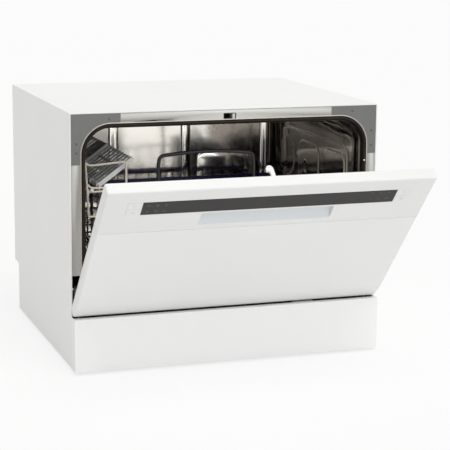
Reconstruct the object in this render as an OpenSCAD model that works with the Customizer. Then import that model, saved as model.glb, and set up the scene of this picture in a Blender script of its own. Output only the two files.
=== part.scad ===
// Countertop dishwasher with a drop-down door, shown ajar.
// X is the width, +Y points to the rear and Z is up. The origin is on the floor, in the middle of
// the four feet. The door parts are drawn shut and then swung open to the rest angle.

/* [Cabinet] */
// Width over the painted sides
cabinet_w = 550; // [530:1:600]
// Depth of the painted sides
cabinet_d = 470; // [455:1:520]
// Height of the top above the floor
total_h = 438; // [428:1:470]
// Thickness of the painted sheet
sheet_t = 1.2; // [0.8:0.1:1.6]
// Thickness of the sheet's folded edges at the front and the rear
hem_t = 2; // [1.8:0.1:3]
// Depth of those folded edges
hem_d = 12; // [10:1:16]
// Height of the cabinet's lower edge above the floor
foot_gap = 6; // [4:0.5:10]
// Depth of the step in the lower rear edge
rear_step_d = 35; // [25:1:45]
// Height of the top of that step
rear_step_h = 96; // [85:1:105]
// Width of the inward fold along the sides' lower edge
fold_w = 20; // [12:1:24]

/* [Door] */
// Thickness of the door, from its face to its inner border
door_t = 20; // [17:0.5:24]
// Gap between the shut door and the front frame
door_gap = 4; // [3:0.5:6]
// Height of the door's lower edge above the floor when it is shut
door_bottom_z = 102; // [100:0.5:110]
// Height of the console above the seam with the lower panel
console_h = 102; // [98:1:112]
// Wall of the door panel
panel_t = 1.2; // [0.8:0.1:2]
// Wall of the console moulding
console_t = 2.5; // [2:0.1:3]
// Hinge axis behind the door's face
hinge_inset = 14; // [13:0.5:16]
// Hinge axis above the door's lower edge
hinge_rise = 9.5; // [8:0.25:9.75]
// Lean of the door's lowest part towards the rear
foot_lean = 4; // [2:0.5:5]
// Height of that leaning part
foot_lean_h = 30; // [20:1:40]
// Opening angle in the rest pose, in degrees from shut
rest_angle = 42; // [42:1:42]
// How far the raised middle of the liner stands into the mouth
liner_rise = 12; // [8:0.5:14]

/* [Console] */
// Half width of the handle pocket
pocket_half_w = 112; // [90:1:130]
// Height of the handle pocket
pocket_h = 30; // [26:1:32]
// Depth of the handle pocket at its top
pocket_d = 14; // [10:0.5:15]
// Upper edge of the pocket below the top of the door
pocket_drop = 60; // [59:0.5:64]
// Half width of the dark strip
strip_half_w = 213; // [190:1:214]
// Height of the dark strip
strip_h = 31; // [24:0.5:32]
// Upper edge of the strip below the top of the door
strip_drop = 25.5; // [24:0.5:26]
// Gap between the strip and the buttons
button_gap = 2; // [1:0.25:6]
// Width of a button
button_w = 22; // [16:0.5:23]
// Height of a button
button_h = 14; // [10:0.5:14.5]
// Travel of a button
button_travel = 1.2; // [0.6:0.1:1.2]

/* [Tub] */
// Width of the front frame at each side of the mouth
frame_side_w = 20; // [19:0.5:28]
// Height of the front frame above the mouth
frame_top_h = 20; // [19:0.5:24]
// Height of the mouth's lower edge above the door's lower edge
mouth_rise = 22; // [20:0.5:24]
// Radius of the mouth's upper corners
mouth_r = 50; // [35:1:70]
// Width of the gasket channel around the tub
gasket_w = 8; // [6:0.5:9]
// Depth of the gasket channel
channel_d = 10; // [8:0.5:14]
// Wall of the tub
tub_t = 0.8; // [0.6:0.1:1.5]
// Depth inside the tub
tub_depth = 409; // [380:1:412]
// Width of a wheel ledge
ledge_w = 43; // [40:0.5:56]
// Depth of the lower pan below the wheel ledges
pan_drop = 14; // [12:0.5:18]
// Length of a corner plate along each edge of the frame
plate_len = 84; // [60:1:110]

/* [Rack] */
// Front of the rack behind the front frame, in the rest pose
rack_setback = 30; // [26:1:45]
// Depth of the rack
rack_d = 330; // [300:1:330]
// Gap between the rack's side wires and the tub's walls
rack_gap = 21; // [20:0.5:30]
// Height of the rack's floor wires above the wheel ledges
rack_lift = 34; // [32:0.5:43]
// Height of the rack's rim above its floor wires
rack_h = 88; // [74:1:94]
// Radius of the thick rack wires
wire_r = 2.5; // [2:0.1:3]
// Radius of the thin rack wires
thin_r = 1.75; // [1.4:0.05:2]
// Radius of a rack wheel
wheel_r = 13; // [12:0.5:14]
// Width of a rack wheel
wheel_w = 7; // [5:0.5:8]
// Height of the arch handle above the rack's rim
arch_rise = 91; // [66:1:106]
// Half width of the arch handle
arch_half_w = 91; // [70:1:100]
// Radius of the arch handle's bar
arch_r = 3.5; // [2.5:0.1:4]
// Height of the cup shelf's hinge rod above the rack's rim
rod_rise = 56; // [46:1:64]
// Width of a cup shelf from its rod to its free edge
shelf_w = 76; // [60:1:84]
// Tilt of a cup shelf in the rest pose, in degrees
shelf_tilt = 36; // [30:1:42]

/* [Base] */
// Radius of a foot's pad
foot_r = 16; // [12:0.5:18]
// Distance of the feet from the painted sides
foot_inset = 40; // [40:1:55]
// Distance between the feet along the depth
foot_span_y = 350; // [330:1:352]
// Wall of the base tray
tray_t = 3; // [2:0.1:4]
// Height of the kick panel's upper edge above the floor
kick_top_z = 95.5; // [94:0.5:96]
// Wall of the kick panel
kick_t = 1.5; // [1:0.1:3]
// Radius of the spray arm's sweep
spray_r = 180; // [150:1:188]
// Sideways offset of the filter from the spray arm
sump_x = 86; // [80:1:95]

/* [Hidden] */

$fn = 64;
// Small overlap that joins two shapes of one piece, and the overrun of a cut
eps = 0.5;
// Clearance between a fixed piece and its seat
seat = 0.3;
// Clearance around a pin that turns
running = 0.06;
// Number of sides of a rack wire
wire_sides = 8;

front_y = -cabinet_d / 2;
rear_y = cabinet_d / 2;
side_x = cabinet_w / 2;
inner_x = side_x - hem_t;
top_inner_z = total_h - hem_t;

// Door
door_face_y = front_y - door_gap - door_t;
door_back_y = front_y - door_gap;
hinge_y = door_face_y + hinge_inset;
hinge_z = door_bottom_z + hinge_rise;
seam_z = total_h - console_h;
pocket_top_z = total_h - pocket_drop;
strip_top_z = total_h - strip_drop;
button_x = strip_half_w + button_gap + button_w / 2;
lip_x = side_x - 7;
arm_t = 3;
arm_x = lip_x - 5;
bracket_x = arm_x - 0.4 - arm_t;
liner_edge_x = bracket_x - 2;
liner_wide_z = hinge_z + 64;
liner_t = 1;
tail_len = 40;
// Dispenser in the shut door
disp_x0 = -126;
disp_x1 = 74;
disp_z1 = total_h - pocket_drop - pocket_h - 23;
disp_z0 = disp_z1 - 110;
cup_x0 = disp_x0 + 78;
cup_x1 = disp_x1 - 54;
cup_z0 = disp_z0 + 29;
cup_z1 = disp_z0 + 83;
rinse_x = disp_x1 - 24;
rinse_z = disp_z0 + 55;
arm_top_z = hinge_z + 110;
pin_r = 4;

// Tub
flange_t = 1.2;
plate_t = 1;
mouth_half_w = side_x - frame_side_w;
mouth_top_z = total_h - frame_top_h;
mouth_bottom_z = door_bottom_z + mouth_rise;
flange_y = front_y + plate_t;
channel_y = flange_y + flange_t;
tub_front_y = channel_y + channel_d;
tub_half_w = mouth_half_w - gasket_w;
tub_top_z = mouth_top_z - gasket_w;
ledge_z = mouth_bottom_z + gasket_w;
ledge_r = 3;
pan_z = ledge_z - pan_drop;
pan_half_w = tub_half_w - ledge_w;
tub_back_y = front_y + plate_t + tub_depth + channel_d + flange_t;
tub_mid_y = -18;
notch_x = bracket_x - 1.3;
notch_top_z = hinge_z + tail_len + 14;
flange_x = inner_x - seat;
flange_top_z = top_inner_z - seat;
flange_bottom_z = door_bottom_z - 2;
hook_z = mouth_top_z + 6.5;
hook_h = 5;
hook_half_w = 7.2;
slot_x0 = -8.5;
slot_x1 = 13.5;
slot_z0 = mouth_top_z + tub_t + 1;
slot_z1 = slot_z0 + 9.5;

// Base
tray_bottom_z = foot_gap + sheet_t;
tray_floor_z = tray_bottom_z + tray_t;
tray_x = inner_x - 0.5;
tray_front_y = channel_y + seat;
tray_rear_y = rear_y - rear_step_d - 4;
tray_wall_z = 60;
foot_x = side_x - foot_inset;
boss_r = 20;
boss_h = 20;
stem_r = 4;
sump_r = 56;
sump_floor_z = 42;
pump_y = tub_mid_y + 80;
pump_z = 60;
hub_r = 20;
arm_z = pan_z + 25;
salt_x = -140;
salt_y = 50;
valve_x = -(pan_half_w - 14);
drain_x = 190;
drain_port_x = drain_x - 29;
gland_x = 20;
port_z = 52;
intake_y = 100;
intake_z0 = ledge_z + 18;
float_x = -225;
float_y = -120;
rest_x = pan_half_w + 14;
harness_x = tray_x - 36.5;
harness_z = 80;

// Rack
rack_half_w = tub_half_w - rack_gap;
rack_floor_z = ledge_z + rack_lift;
rack_rim_z = rack_floor_z + rack_h;
arch_top_z = rack_rim_z + arch_rise;
shelf_rod_z = rack_rim_z + rod_rise;
rack_front_y = front_y + rack_setback;
rack_rear_y = rack_front_y + rack_d;
arch_x = 8;
arch_y = rack_front_y + 110;
wheel_x = rack_half_w + 5;
wheel_z = ledge_z + wheel_r + seat;
wheel_inset = 48;
axle_r = 3;
loop_top_z = shelf_rod_z + 40;
loop_left_x = -rack_half_w - 12;
loop_right_x = loop_left_x + 67;
rod_x = loop_left_x + 21;
rod_r = 2;
shelf_len = (rack_d - 34) / 2;
basket_x0 = rack_half_w - 78;
basket_x1 = rack_half_w - 8;
basket_y0 = rack_front_y + 12;
basket_y1 = basket_y0 + 130;
basket_z1 = rack_floor_z + 114;

// ---- helpers ----

// Extrudes an outline drawn in X and Z along Y
module along_y(y0, y1) {
    translate([0, y1, 0]) rotate([90, 0, 0]) linear_extrude(y1 - y0) children();
}

// Extrudes an outline drawn in Y and Z along X
module along_x(x0, x1) {
    translate([x0, 0, 0]) rotate([90, 0, 90]) linear_extrude(x1 - x0) children();
}

// Box between two corners
module box(a, b) {
    translate(a) cube([b[0] - a[0], b[1] - a[1], b[2] - a[2]]);
}

// Box drawn on the right and mirrored to the left
module both_sides() {
    children();
    mirror([1, 0, 0]) children();
}

// Cylinder between two heights
module post(x, y, z0, z1, r) {
    translate([x, y, z0]) cylinder(h = z1 - z0, r = r);
}

// Cylinder along X or Y
module bar_x(x0, x1, y, z, r) {
    translate([x0, y, z]) rotate([0, 90, 0]) cylinder(h = x1 - x0, r = r);
}
module bar_y(x, y0, y1, z, r) {
    translate([x, y1, z]) rotate([90, 0, 0]) cylinder(h = y1 - y0, r = r);
}

// Rack wires, as eight-sided bars
module wire_x(x0, x1, y, z, r) {
    translate([x0, y, z]) rotate([0, 90, 0]) cylinder(h = x1 - x0, r = r, $fn = wire_sides);
}
module wire_y(x, y0, y1, z, r) {
    translate([x, y1, z]) rotate([90, 0, 0]) cylinder(h = y1 - y0, r = r, $fn = wire_sides);
}
module wire_z(x, y, z0, z1, r) {
    translate([x, y, z0]) cylinder(h = z1 - z0, r = r, $fn = wire_sides);
}

// Rectangle with rounded upper and lower corners, about x = 0
module rounded_panel(half_w, z0, z1, r_top, r_low) {
    union() {
        translate([-half_w, z0 + r_low]) square([2 * half_w, z1 - z0 - r_top - r_low]);
        translate([-half_w + r_top, z1 - r_top - eps]) square([2 * (half_w - r_top), r_top + eps]);
        translate([-half_w + r_low, z0]) square([2 * (half_w - r_low), r_low + eps]);
        for (s = [-1, 1]) {
            translate([s * (half_w - r_top), z1 - r_top]) circle(r = r_top);
            translate([s * (half_w - r_low), z0 + r_low]) circle(r = r_low);
        }
    }
}

// Outline of the mouth, grown by g
module mouth_outline(g) {
    rounded_panel(mouth_half_w + g, mouth_bottom_z - g, mouth_top_z + g, mouth_r + g, 20 + g);
}

// Outline of the tub's inside, grown by g: the upper room and the lower pan
module tub_outline(g) {
    rounded_panel(tub_half_w + g, ledge_z - g, tub_top_z + g, mouth_r - gasket_w + g, ledge_r + g);
    rounded_panel(pan_half_w + g, pan_z - g, ledge_z + 60, 12 + g, 12 + g);
}

// Closed loop of rack wire around the rack at one height
module rack_ring(z, r) {
    c = 20;
    for (s = [-1, 1]) {
        wire_y(s * rack_half_w, rack_front_y + c, rack_rear_y - c, z, r);
    }
    for (y = [rack_front_y, rack_rear_y]) wire_x(-rack_half_w + c, rack_half_w - c, y, z, r);
    for (s = [0, 1], t = [0, 1]) {
        translate([s == 0 ? -rack_half_w + c : rack_half_w - c,
                   t == 0 ? rack_front_y + c : rack_rear_y - c, z])
            rotate([0, 0, s == 0 ? (t == 0 ? 180 : 90) : (t == 0 ? 270 : 0)])
                rotate_extrude(angle = 90) translate([c, 0]) circle(r = r, $fn = wire_sides);
    }
}

// Swings the door parts from shut to the rest pose
module in_door() {
    translate([0, hinge_y, hinge_z]) rotate([rest_angle, 0, 0])
        translate([0, -hinge_y, -hinge_z]) children();
}

// ---- cabinet and tub ----

module outer_cabinet() color("white") {
    difference() {
        box([-side_x, front_y, foot_gap], [side_x, rear_y, total_h]);
        box([-inner_x, front_y - eps, tray_bottom_z], [inner_x, rear_y + eps, top_inner_z]);
        box([-side_x + sheet_t, front_y + hem_d, tray_bottom_z],
            [side_x - sheet_t, rear_y - hem_d, total_h - sheet_t]);
        box([-side_x + fold_w, front_y - eps, foot_gap - eps],
            [side_x - fold_w, rear_y + eps, tray_bottom_z + eps]);
        box([-side_x - eps, rear_y - rear_step_d, foot_gap - eps],
            [side_x + eps, rear_y + eps, rear_step_h - 8]);
        box([-side_x - eps, rear_y - rear_step_d + 8, rear_step_h - 8 - eps],
            [side_x + eps, rear_y + eps, rear_step_h]);
        bar_x(-side_x - eps, side_x + eps, rear_y - rear_step_d + 8, rear_step_h - 8, 8);
    }
}

module tub() color("silver") {
    difference() {
        union() {
            along_y(flange_y, channel_y) difference() {
                translate([-flange_x, flange_bottom_z])
                    square([2 * flange_x, flange_top_z - flange_bottom_z]);
                mouth_outline(0);
            }
            along_y(channel_y - eps, tub_front_y + tub_t) difference() {
                mouth_outline(tub_t);
                mouth_outline(0);
            }
            along_y(tub_front_y, tub_front_y + tub_t) difference() {
                union() {
                    mouth_outline(tub_t);
                    tub_outline(tub_t);
                }
                intersection() {
                    mouth_outline(0);
                    tub_outline(0);
                }
            }
            tub_sleeve();
            along_y(tub_back_y, tub_back_y + tub_t) tub_outline(tub_t);
            // Upright ribs of the back wall
            for (x = [-90, 58]) box([x - 9, tub_back_y - 3, ledge_z + 30],
                                    [x + 9, tub_back_y + eps, tub_top_z - 25]);
        }
        floor_zone(0);
        // Slot of the door latch
        box([slot_x0, flange_y - eps, slot_z0], [slot_x1, channel_y + eps, slot_z1]);
        // Notches for the hinge arms
        both_sides() box([notch_x, flange_y - eps, flange_bottom_z - eps],
                         [flange_x + eps, channel_y + eps, notch_top_z]);
        // Air slot to the intake chamber
        box([-tub_half_w - 5, 0, ledge_z + 128], [-tub_half_w + 5, 40, ledge_z + 158]);
    }
}

// Walls, ceiling and floor of the tub, open at both ends
module tub_sleeve() {
    along_y(tub_front_y, tub_back_y + tub_t) difference() {
        tub_outline(tub_t);
        tub_outline(0);
    }
}

// Room of the floor piece, which ends g short of the walls
module floor_zone(g) {
    box([-tub_half_w + ledge_r + g, tub_front_y + tub_t, pan_z - tub_t - eps],
        [tub_half_w - ledge_r - g, tub_back_y, ledge_z + eps]);
}

module tub_floor() color("silver") {
    seam = 0.2;
    difference() {
        intersection() {
            tub_sleeve();
            floor_zone(seam);
        }
        // Seams between the pan and the wheel ledges
        both_sides() box([pan_half_w + tub_t, tub_front_y, ledge_z - tub_t - eps],
                         [pan_half_w + tub_t + seam, tub_back_y + eps, ledge_z + eps]);
        // Holes of the sump, the spray hub and the salt filler
        post(sump_x, tub_mid_y, pan_z - 10, pan_z + 5, sump_r);
        post(0, tub_mid_y, pan_z - 10, pan_z + 5, 12 + seat);
        post(salt_x, salt_y, pan_z - 10, pan_z + 5, 26 + seat);
    }
}

module corner_plates() color("#5b625c") {
    both_sides() along_y(front_y, flange_y) difference() {
        translate([flange_x - plate_len, flange_top_z - plate_len]) square([plate_len, plate_len]);
        mouth_outline(3);
        translate([flange_x - plate_len + 22, flange_top_z - 7]) circle(r = 2.2);
        translate([flange_x - 7, flange_top_z - plate_len + 22]) circle(r = 2.2);
    }
}

module tub_gasket() color("#1c1a18") {
    along_y(door_back_y + 1.3, tub_front_y - seat) difference() {
        mouth_outline(-seat);
        mouth_outline(seat - gasket_w + 0.6);
        translate([-mouth_half_w, mouth_bottom_z - 5]) square([2 * mouth_half_w, 30]);
    }
}

module rear_cover() color("lightgray") {
    t = 0.8;
    y1 = rear_y - 3;
    y0 = rear_y - rear_step_d - 3;
    zs = rear_step_h + 1;
    difference() {
        along_x(-inner_x + seat, inner_x - seat) polygon([
            [y1, flange_top_z], [y1, zs], [y0, zs], [y0, tray_floor_z], [y0 - t, tray_floor_z],
            [y0 - t, zs + t], [y1 - t, zs + t], [y1 - t, flange_top_z]
        ]);
        bar_y(valve_x, y0 - 3, y0 + 2, port_z, 15);
        bar_y(drain_x, y0 - 3, y0 + 2, port_z, 12);
        bar_y(gland_x, y0 - 3, y0 + 2, port_z, 8.3);
        for (i = [0 : 7], s = [-1, 1])
            box([s * 110 - 40, y1 - 3, 300 + 8 * i], [s * 110 + 40, y1 + 2, 303 + 8 * i]);
    }
}

module base_tray() color("dimgray") {
    difference() {
        union() {
            difference() {
                box([-tray_x, tray_front_y, tray_bottom_z], [tray_x, tray_rear_y, tray_wall_z]);
                box([-tray_x + tray_t, tray_front_y + tray_t, tray_floor_z],
                    [tray_x - tray_t, tray_rear_y - tray_t, tray_wall_z + eps]);
            }
            box([-notch_x + 4, tray_front_y, tray_wall_z - eps],
                [notch_x - 4, tray_front_y + tray_t, flange_bottom_z + 8]);
            for (x = [-1, 1], y = [-1, 1])
                post(x * foot_x, y * foot_span_y / 2, tray_floor_z - eps,
                     tray_floor_z + boss_h, boss_r);
            // Guide tube of the float
            post(float_x, float_y, tray_floor_z - eps, tray_floor_z + 14, 15);
            // Saddles under the pumps, the heater and the softener
            for (y = [pump_y + 45, pump_y + 90])
                box([sump_x - 20, y, tray_floor_z - eps], [sump_x + 20, y + 6, pump_z - 36 - seat]);
            box([168, tub_mid_y - 10, tray_floor_z - eps],
                [174, tub_mid_y + 10, port_z - 24 - seat]);
            box([-5, tub_mid_y + 70, tray_floor_z - eps], [5, tub_mid_y + 76, pump_z - 20 - seat]);
            // Rests under the tub
            for (x = [-1, 1], y = [-150, 88])
                box([x * rest_x - 6, y - 10, tray_floor_z - eps],
                    [x * rest_x + 6, y + 10, ledge_z - tub_t - seat]);
        }
        for (x = [-1, 1], y = [-1, 1])
            post(x * foot_x, y * foot_span_y / 2, tray_bottom_z - 1,
                 tray_floor_z + boss_h + 1, stem_r + running);
        post(float_x, float_y, tray_floor_z, tray_floor_z + 15, 12.4);
        bar_y(valve_x, tray_rear_y - tray_t - 1, tray_rear_y + 1, port_z, 15);
        bar_y(drain_x, tray_rear_y - tray_t - 1, tray_rear_y + 1, port_z, 12);
        bar_y(gland_x, tray_rear_y - tray_t - 1, tray_rear_y + 1, port_z, 8.3);
        for (x = [valve_x, drain_x, gland_x])
            box([x - 15, tray_rear_y - tray_t - 1, port_z],
                [x + 15, tray_rear_y + 1, tray_wall_z + 1]);
    }
}

module kick_panel() color("white") {
    y0 = door_face_y;
    difference() {
        box([-side_x, y0, 4], [side_x, front_y - seat, kick_top_z]);
        box([-side_x + kick_t, y0 + kick_t, 4 - eps],
            [side_x - kick_t, front_y + 1, kick_top_z - kick_t]);
        box([-side_x + kick_t, y0 + 13, kick_top_z - kick_t - eps],
            [side_x - kick_t, front_y + 1, kick_top_z + eps]);
    }
    // Tongues that hold the panel to the tray
    both_sides() box([180, y0 + kick_t - eps, 30], [183, tray_front_y - seat, 56]);
}

module gap_bracket() color("lightgray") {
    y1 = tray_front_y - seat;
    difference() {
        box([121, door_face_y + 16, kick_top_z - 20], [157, y1, kick_top_z]);
        box([123, door_face_y + 15, kick_top_z - 21], [155, y1 - 2, kick_top_z - 2]);
    }
}

module hinge_brackets() color("gray") {
    y0 = tray_front_y + tray_t + 2;
    both_sides() {
        difference() {
            union() {
                along_x(bracket_x, bracket_x + arm_t) polygon([
                    [y0 + 56, tray_floor_z], [y0 + 56, 60], [y0 + 22, hinge_z - 18],
                    [y0, hinge_z + 12], [hinge_y, hinge_z + 8.5], [hinge_y - 6, hinge_z + 5.5],
                    [hinge_y - 8, hinge_z], [hinge_y - 5, hinge_z - 6], [hinge_y, hinge_z - 7.3],
                    [front_y + 0.2, hinge_z - 7.3], [y0, hinge_z - 22], [y0, tray_floor_z]
                ]);
                box([bracket_x - 18, y0, tray_floor_z], [bracket_x + eps, y0 + 24, tray_floor_z + 3]);
                // Pivot pin of the door
                bar_x(bracket_x + arm_t - eps, arm_x + arm_t + 1, hinge_y, hinge_z, pin_r);
                // Peg of the door spring
                bar_x(bracket_x + arm_t - eps, inner_x - 2, spring_y(), 68, 1.5);
            }
            for (y = [y0 + 6, y0 + 18]) post(bracket_x - 9, y, tray_floor_z - 1, tray_floor_z + 5, 2.6);
        }
    }
}

// Place of the tail's spring peg in the rest pose
function spring_y() = hinge_y + tail_len * cos(rest_angle);
function spring_z() = hinge_z + tail_len * sin(rest_angle);

module door_springs() color("silver") {
    x = arm_x + arm_t + 3;
    both_sides() translate([x, spring_y(), 0]) {
        difference() {
            post(0, 0, 72, spring_z() - 4, 2.6);
            post(0, 0, 71, spring_z() - 3, 1.6);
        }
        for (z = [68, spring_z()]) translate([0, 0, z]) rotate([0, 90, 0]) difference() {
            cylinder(h = 1.6, r = 4.6, center = true);
            cylinder(h = 3, r = 1.9, center = true);
        }
    }
}

module latch_housing() color("#3a3d40") {
    z0 = mouth_top_z + tub_t + seat;
    y1 = channel_y + 38;
    difference() {
        box([slot_x0 - 8, channel_y + seat, z0], [slot_x1 + 16, y1, flange_top_z]);
        box([slot_x0, channel_y - 1, slot_z0 + seat], [slot_x1 + 5, y1 - 5, slot_z1]);
    }
}

module latch_lever() color("gainsboro") {
    z0 = slot_z0 + seat + 0.2;
    box([hook_half_w + 0.4, flange_y + eps, z0], [slot_x1 - button_travel - 0.2, channel_y + 16, slot_z1 - 0.2]);
}

// ---- base ----

module sump() color("#30343a") {
    top = pan_z - tub_t - seat;
    difference() {
        union() {
            translate([sump_x, tub_mid_y, 0]) rotate_extrude() polygon([
                [0, sump_floor_z], [sump_r - 18, sump_floor_z], [sump_r - 14, sump_floor_z + 30],
                [sump_r, top - 12], [sump_r + 8, top - 3], [sump_r + 8, top], [sump_r - 4, top],
                [sump_r - 4, top - 12], [sump_r - 18, sump_floor_z + 30],
                [sump_r - 21, sump_floor_z + 3], [0, sump_floor_z + 3]
            ]);
            bar_y(sump_x, tub_mid_y + sump_r - 20, pump_y - 12 - seat, pump_z, 13);
            bar_x(sump_x + sump_r - 20, 150 - seat, tub_mid_y, port_z, 11);
        }
        bar_y(sump_x, tub_mid_y + 20, pump_y, pump_z, 10);
        bar_x(sump_x + 20, 151, tub_mid_y, port_z, 8);
        // Seat of the filter
        post(sump_x, tub_mid_y, sump_floor_z + 10, top + 1, 30);
    }
}

module filter_plate() color("silver") {
    difference() {
        post(sump_x, tub_mid_y, pan_z + 0.1, pan_z + 1.3, sump_r + 4);
        post(sump_x, tub_mid_y, pan_z - 1, pan_z + 3, 30);
        for (i = [0 : 17]) rotate_about(sump_x, tub_mid_y, i * 20)
            box([sump_x + 36, tub_mid_y - 2.5, pan_z - 1], [sump_x + 52, tub_mid_y + 2.5, pan_z + 3]);
    }
}

module rotate_about(x, y, a) {
    translate([x, y, 0]) rotate([0, 0, a]) translate([-x, -y, 0]) children();
}

module filter_cylinder() color("#8a9097") {
    translate([sump_x, tub_mid_y, 0]) difference() {
        union() {
            translate([0, 0, sump_floor_z + 12]) cylinder(h = pan_z - sump_floor_z - 12, r = 28);
            translate([0, 0, pan_z + 1.6]) cylinder(h = 3, r = 34);
            translate([0, 0, pan_z - 1]) cylinder(h = 4, r = 28);
            translate([-22, -3, pan_z + 4]) cube([44, 6, 12]);
        }
        translate([0, 0, sump_floor_z + 14]) cylinder(h = pan_z - sump_floor_z - 12, r = 26);
        for (i = [0 : 7]) rotate([0, 0, i * 45 + 22.5]) translate([20, -5, sump_floor_z + 24])
            cube([14, 10, 40]);
        for (s = [-1, 1]) translate([-9, s * 16 - 4, pan_z]) cube([18, 8, 6]);
    }
}

module spray_hub() color("#4a4e55") {
    translate([0, tub_mid_y, 0]) difference() {
        union() {
            translate([0, 0, pan_z + 0.2]) cylinder(h = 5, r = hub_r);
            translate([0, 0, pump_z - 12]) cylinder(h = arm_z - pump_z + 18.7, r = 12);
            translate([0, 0, arm_z + 6]) cylinder(h = 10, r = 7);
            translate([0, 10, pump_z]) rotate([-90, 0, 0]) cylinder(h = 38 - 10 - seat, r = 12);
        }
        translate([0, 0, pump_z - 9]) cylinder(h = arm_z - pump_z + 12, r = 9);
        translate([0, 0, arm_z + 2]) cylinder(h = 12, r = 4.5);
        translate([0, 0, pump_z]) rotate([-90, 0, 0]) cylinder(h = 60, r = 9);
        for (a = [0, 90]) rotate([0, 0, a]) translate([-20, -3, arm_z + 9]) cube([40, 6, 4]);
    }
}

module spray_arm() color("#9aa0a6") {
    translate([0, tub_mid_y, arm_z]) difference() {
        union() {
            translate([0, 0, 5]) cylinder(h = 14, r = 24);
            for (s = [0, 180]) rotate([0, 0, s]) {
                translate([10, -14, 6]) cube([spray_r - 24, 28, 10]);
                translate([spray_r - 14, 0, 6]) cylinder(h = 10, r = 14);
            }
        }
        translate([0, 0, 4]) cylinder(h = 13, r = 7 + running);
        translate([0, 0, 4]) cylinder(h = 3, r = 12 + seat);
        for (s = [0, 180]) rotate([0, 0, s]) {
            translate([6, -11, 8]) cube([spray_r - 24, 22, 6]);
            for (i = [0 : 6]) translate([40 + i * 20, i % 2 == 0 ? 6 : -6, 12])
                cylinder(h = 10, r = 1.6);
        }
    }
}

module wash_pump() color("#2f3338") {
    translate([sump_x, pump_y, pump_z]) rotate([-90, 0, 0]) difference() {
        union() {
            translate([0, 0, -12]) cylinder(h = 14, r = 16);
            cylinder(h = 26, r = 42);
            translate([0, 0, 25]) cylinder(h = 84, r = 36);
            translate([0, 0, 108]) cylinder(h = 8, r = 14);
            translate([0, 0, 13]) rotate([0, -90, 0]) cylinder(h = sump_x - 20 - seat, r = 11);
        }
        translate([0, 0, -13]) cylinder(h = 20, r = 10);
        translate([0, 0, 3]) cylinder(h = 20, r = 38);
        translate([0, 0, 13]) rotate([0, -90, 0]) cylinder(h = sump_x, r = 8);
    }
}

module heater() color("silver") {
    translate([0, tub_mid_y + 38, pump_z]) rotate([-90, 0, 0]) difference() {
        union() {
            cylinder(h = 74, r = 19.5);
            translate([0, 0, 73]) cylinder(h = 4, r = 22);
            for (s = [-1, 1]) translate([s * 10, 0, 76]) cylinder(h = 12, r = 3);
        }
        translate([0, 0, -1]) cylinder(h = 70, r = 17);
        translate([0, 0, 55]) rotate([0, 90, 0]) cylinder(h = 30, r = 11);
    }
}

module drain_pump() color("#3d4248") {
    difference() {
        union() {
            bar_x(150, 164, tub_mid_y, port_z, 24);
            bar_x(163, 208, tub_mid_y, port_z, 19);
            bar_y(drain_port_x, tub_mid_y, tub_mid_y + 34, port_z, 9);
        }
        bar_x(149, 160, tub_mid_y, port_z, 8);
        bar_y(drain_port_x, tub_mid_y, tub_mid_y + 35, port_z, 6);
    }
}

// Straight twelve-sided bar between two points, each end drawn out by a share of its radius
module straight_run(a, b, r, out_a, out_b) {
    d = (b - a) / norm(b - a);
    translate(a - out_a * r * d) rotate([0, acos(d[2]), atan2(d[1], d[0])])
        cylinder(h = norm(b - a) + (out_a + out_b) * r, r = r, $fn = 12);
}

// Hose or lead through a list of points, its bends cut at 45 degrees
module hose_run(points, r) {
    last = len(points) - 1;
    bend = 1.5 * r;
    lap = 0.5;
    function dir(i, j) = (points[j] - points[i]) / norm(points[j] - points[i]);
    for (i = [0 : last - 1])
        straight_run(points[i] + (i == 0 ? 0 : bend) * dir(i, i + 1),
                     points[i + 1] - (i == last - 1 ? 0 : bend) * dir(i, i + 1),
                     r, i == 0 ? 0 : lap, i == last - 1 ? 0 : lap);
    for (i = [1 : last - 1])
        straight_run(points[i] + bend * dir(i, i - 1), points[i] + bend * dir(i, i + 1), r, lap, lap);
}

module water_hoses() color("#6b6f73") {
    // From the drain pump to its outlet
    hose_run([[drain_port_x, tub_mid_y + 34 + seat, port_z], [drain_port_x, 110, port_z],
              [drain_x, 110, port_z], [drain_x, tray_rear_y - 20, port_z]], 8.5);
    // From the inlet valve to the intake chamber
    y = tray_rear_y - tray_t - 26;
    x = -inner_x + 13;
    z = port_z - 8;
    hose_run([[valve_x - 18 - seat, y, z], [x, y, z], [x, intake_y, z], [x, intake_y, intake_z0 - seat]],
             6);
}

module drain_outlet() color("#4b4f54") {
    difference() {
        union() {
            bar_y(drain_x, tray_rear_y - 20 + seat, tray_rear_y + 28, port_z, 9.5);
            bar_y(drain_x, tray_rear_y - 8 - tray_t, tray_rear_y - tray_t - 0.5, port_z, 14);
        }
        bar_y(drain_x, tray_rear_y - 21, tray_rear_y + 29, port_z, 7);
    }
}

module inlet_valve() color("#e8e6df") {
    y0 = tray_rear_y - tray_t;
    difference() {
        union() {
            bar_y(valve_x, y0 - 10, tray_rear_y + 28, port_z, 13.2);
            box([valve_x - 18, y0 - 45, port_z - 20], [valve_x + 18, y0 - 6, port_z + 16]);
            post(valve_x, y0 - 28, port_z + 15, port_z + 34, 13);
            box([valve_x - 22, y0 - 40, tray_floor_z], [valve_x + 22, y0 - 12, port_z - 19]);
        }
        bar_y(valve_x, y0 - 1, tray_rear_y + 29, port_z, 10);
    }
}

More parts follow.
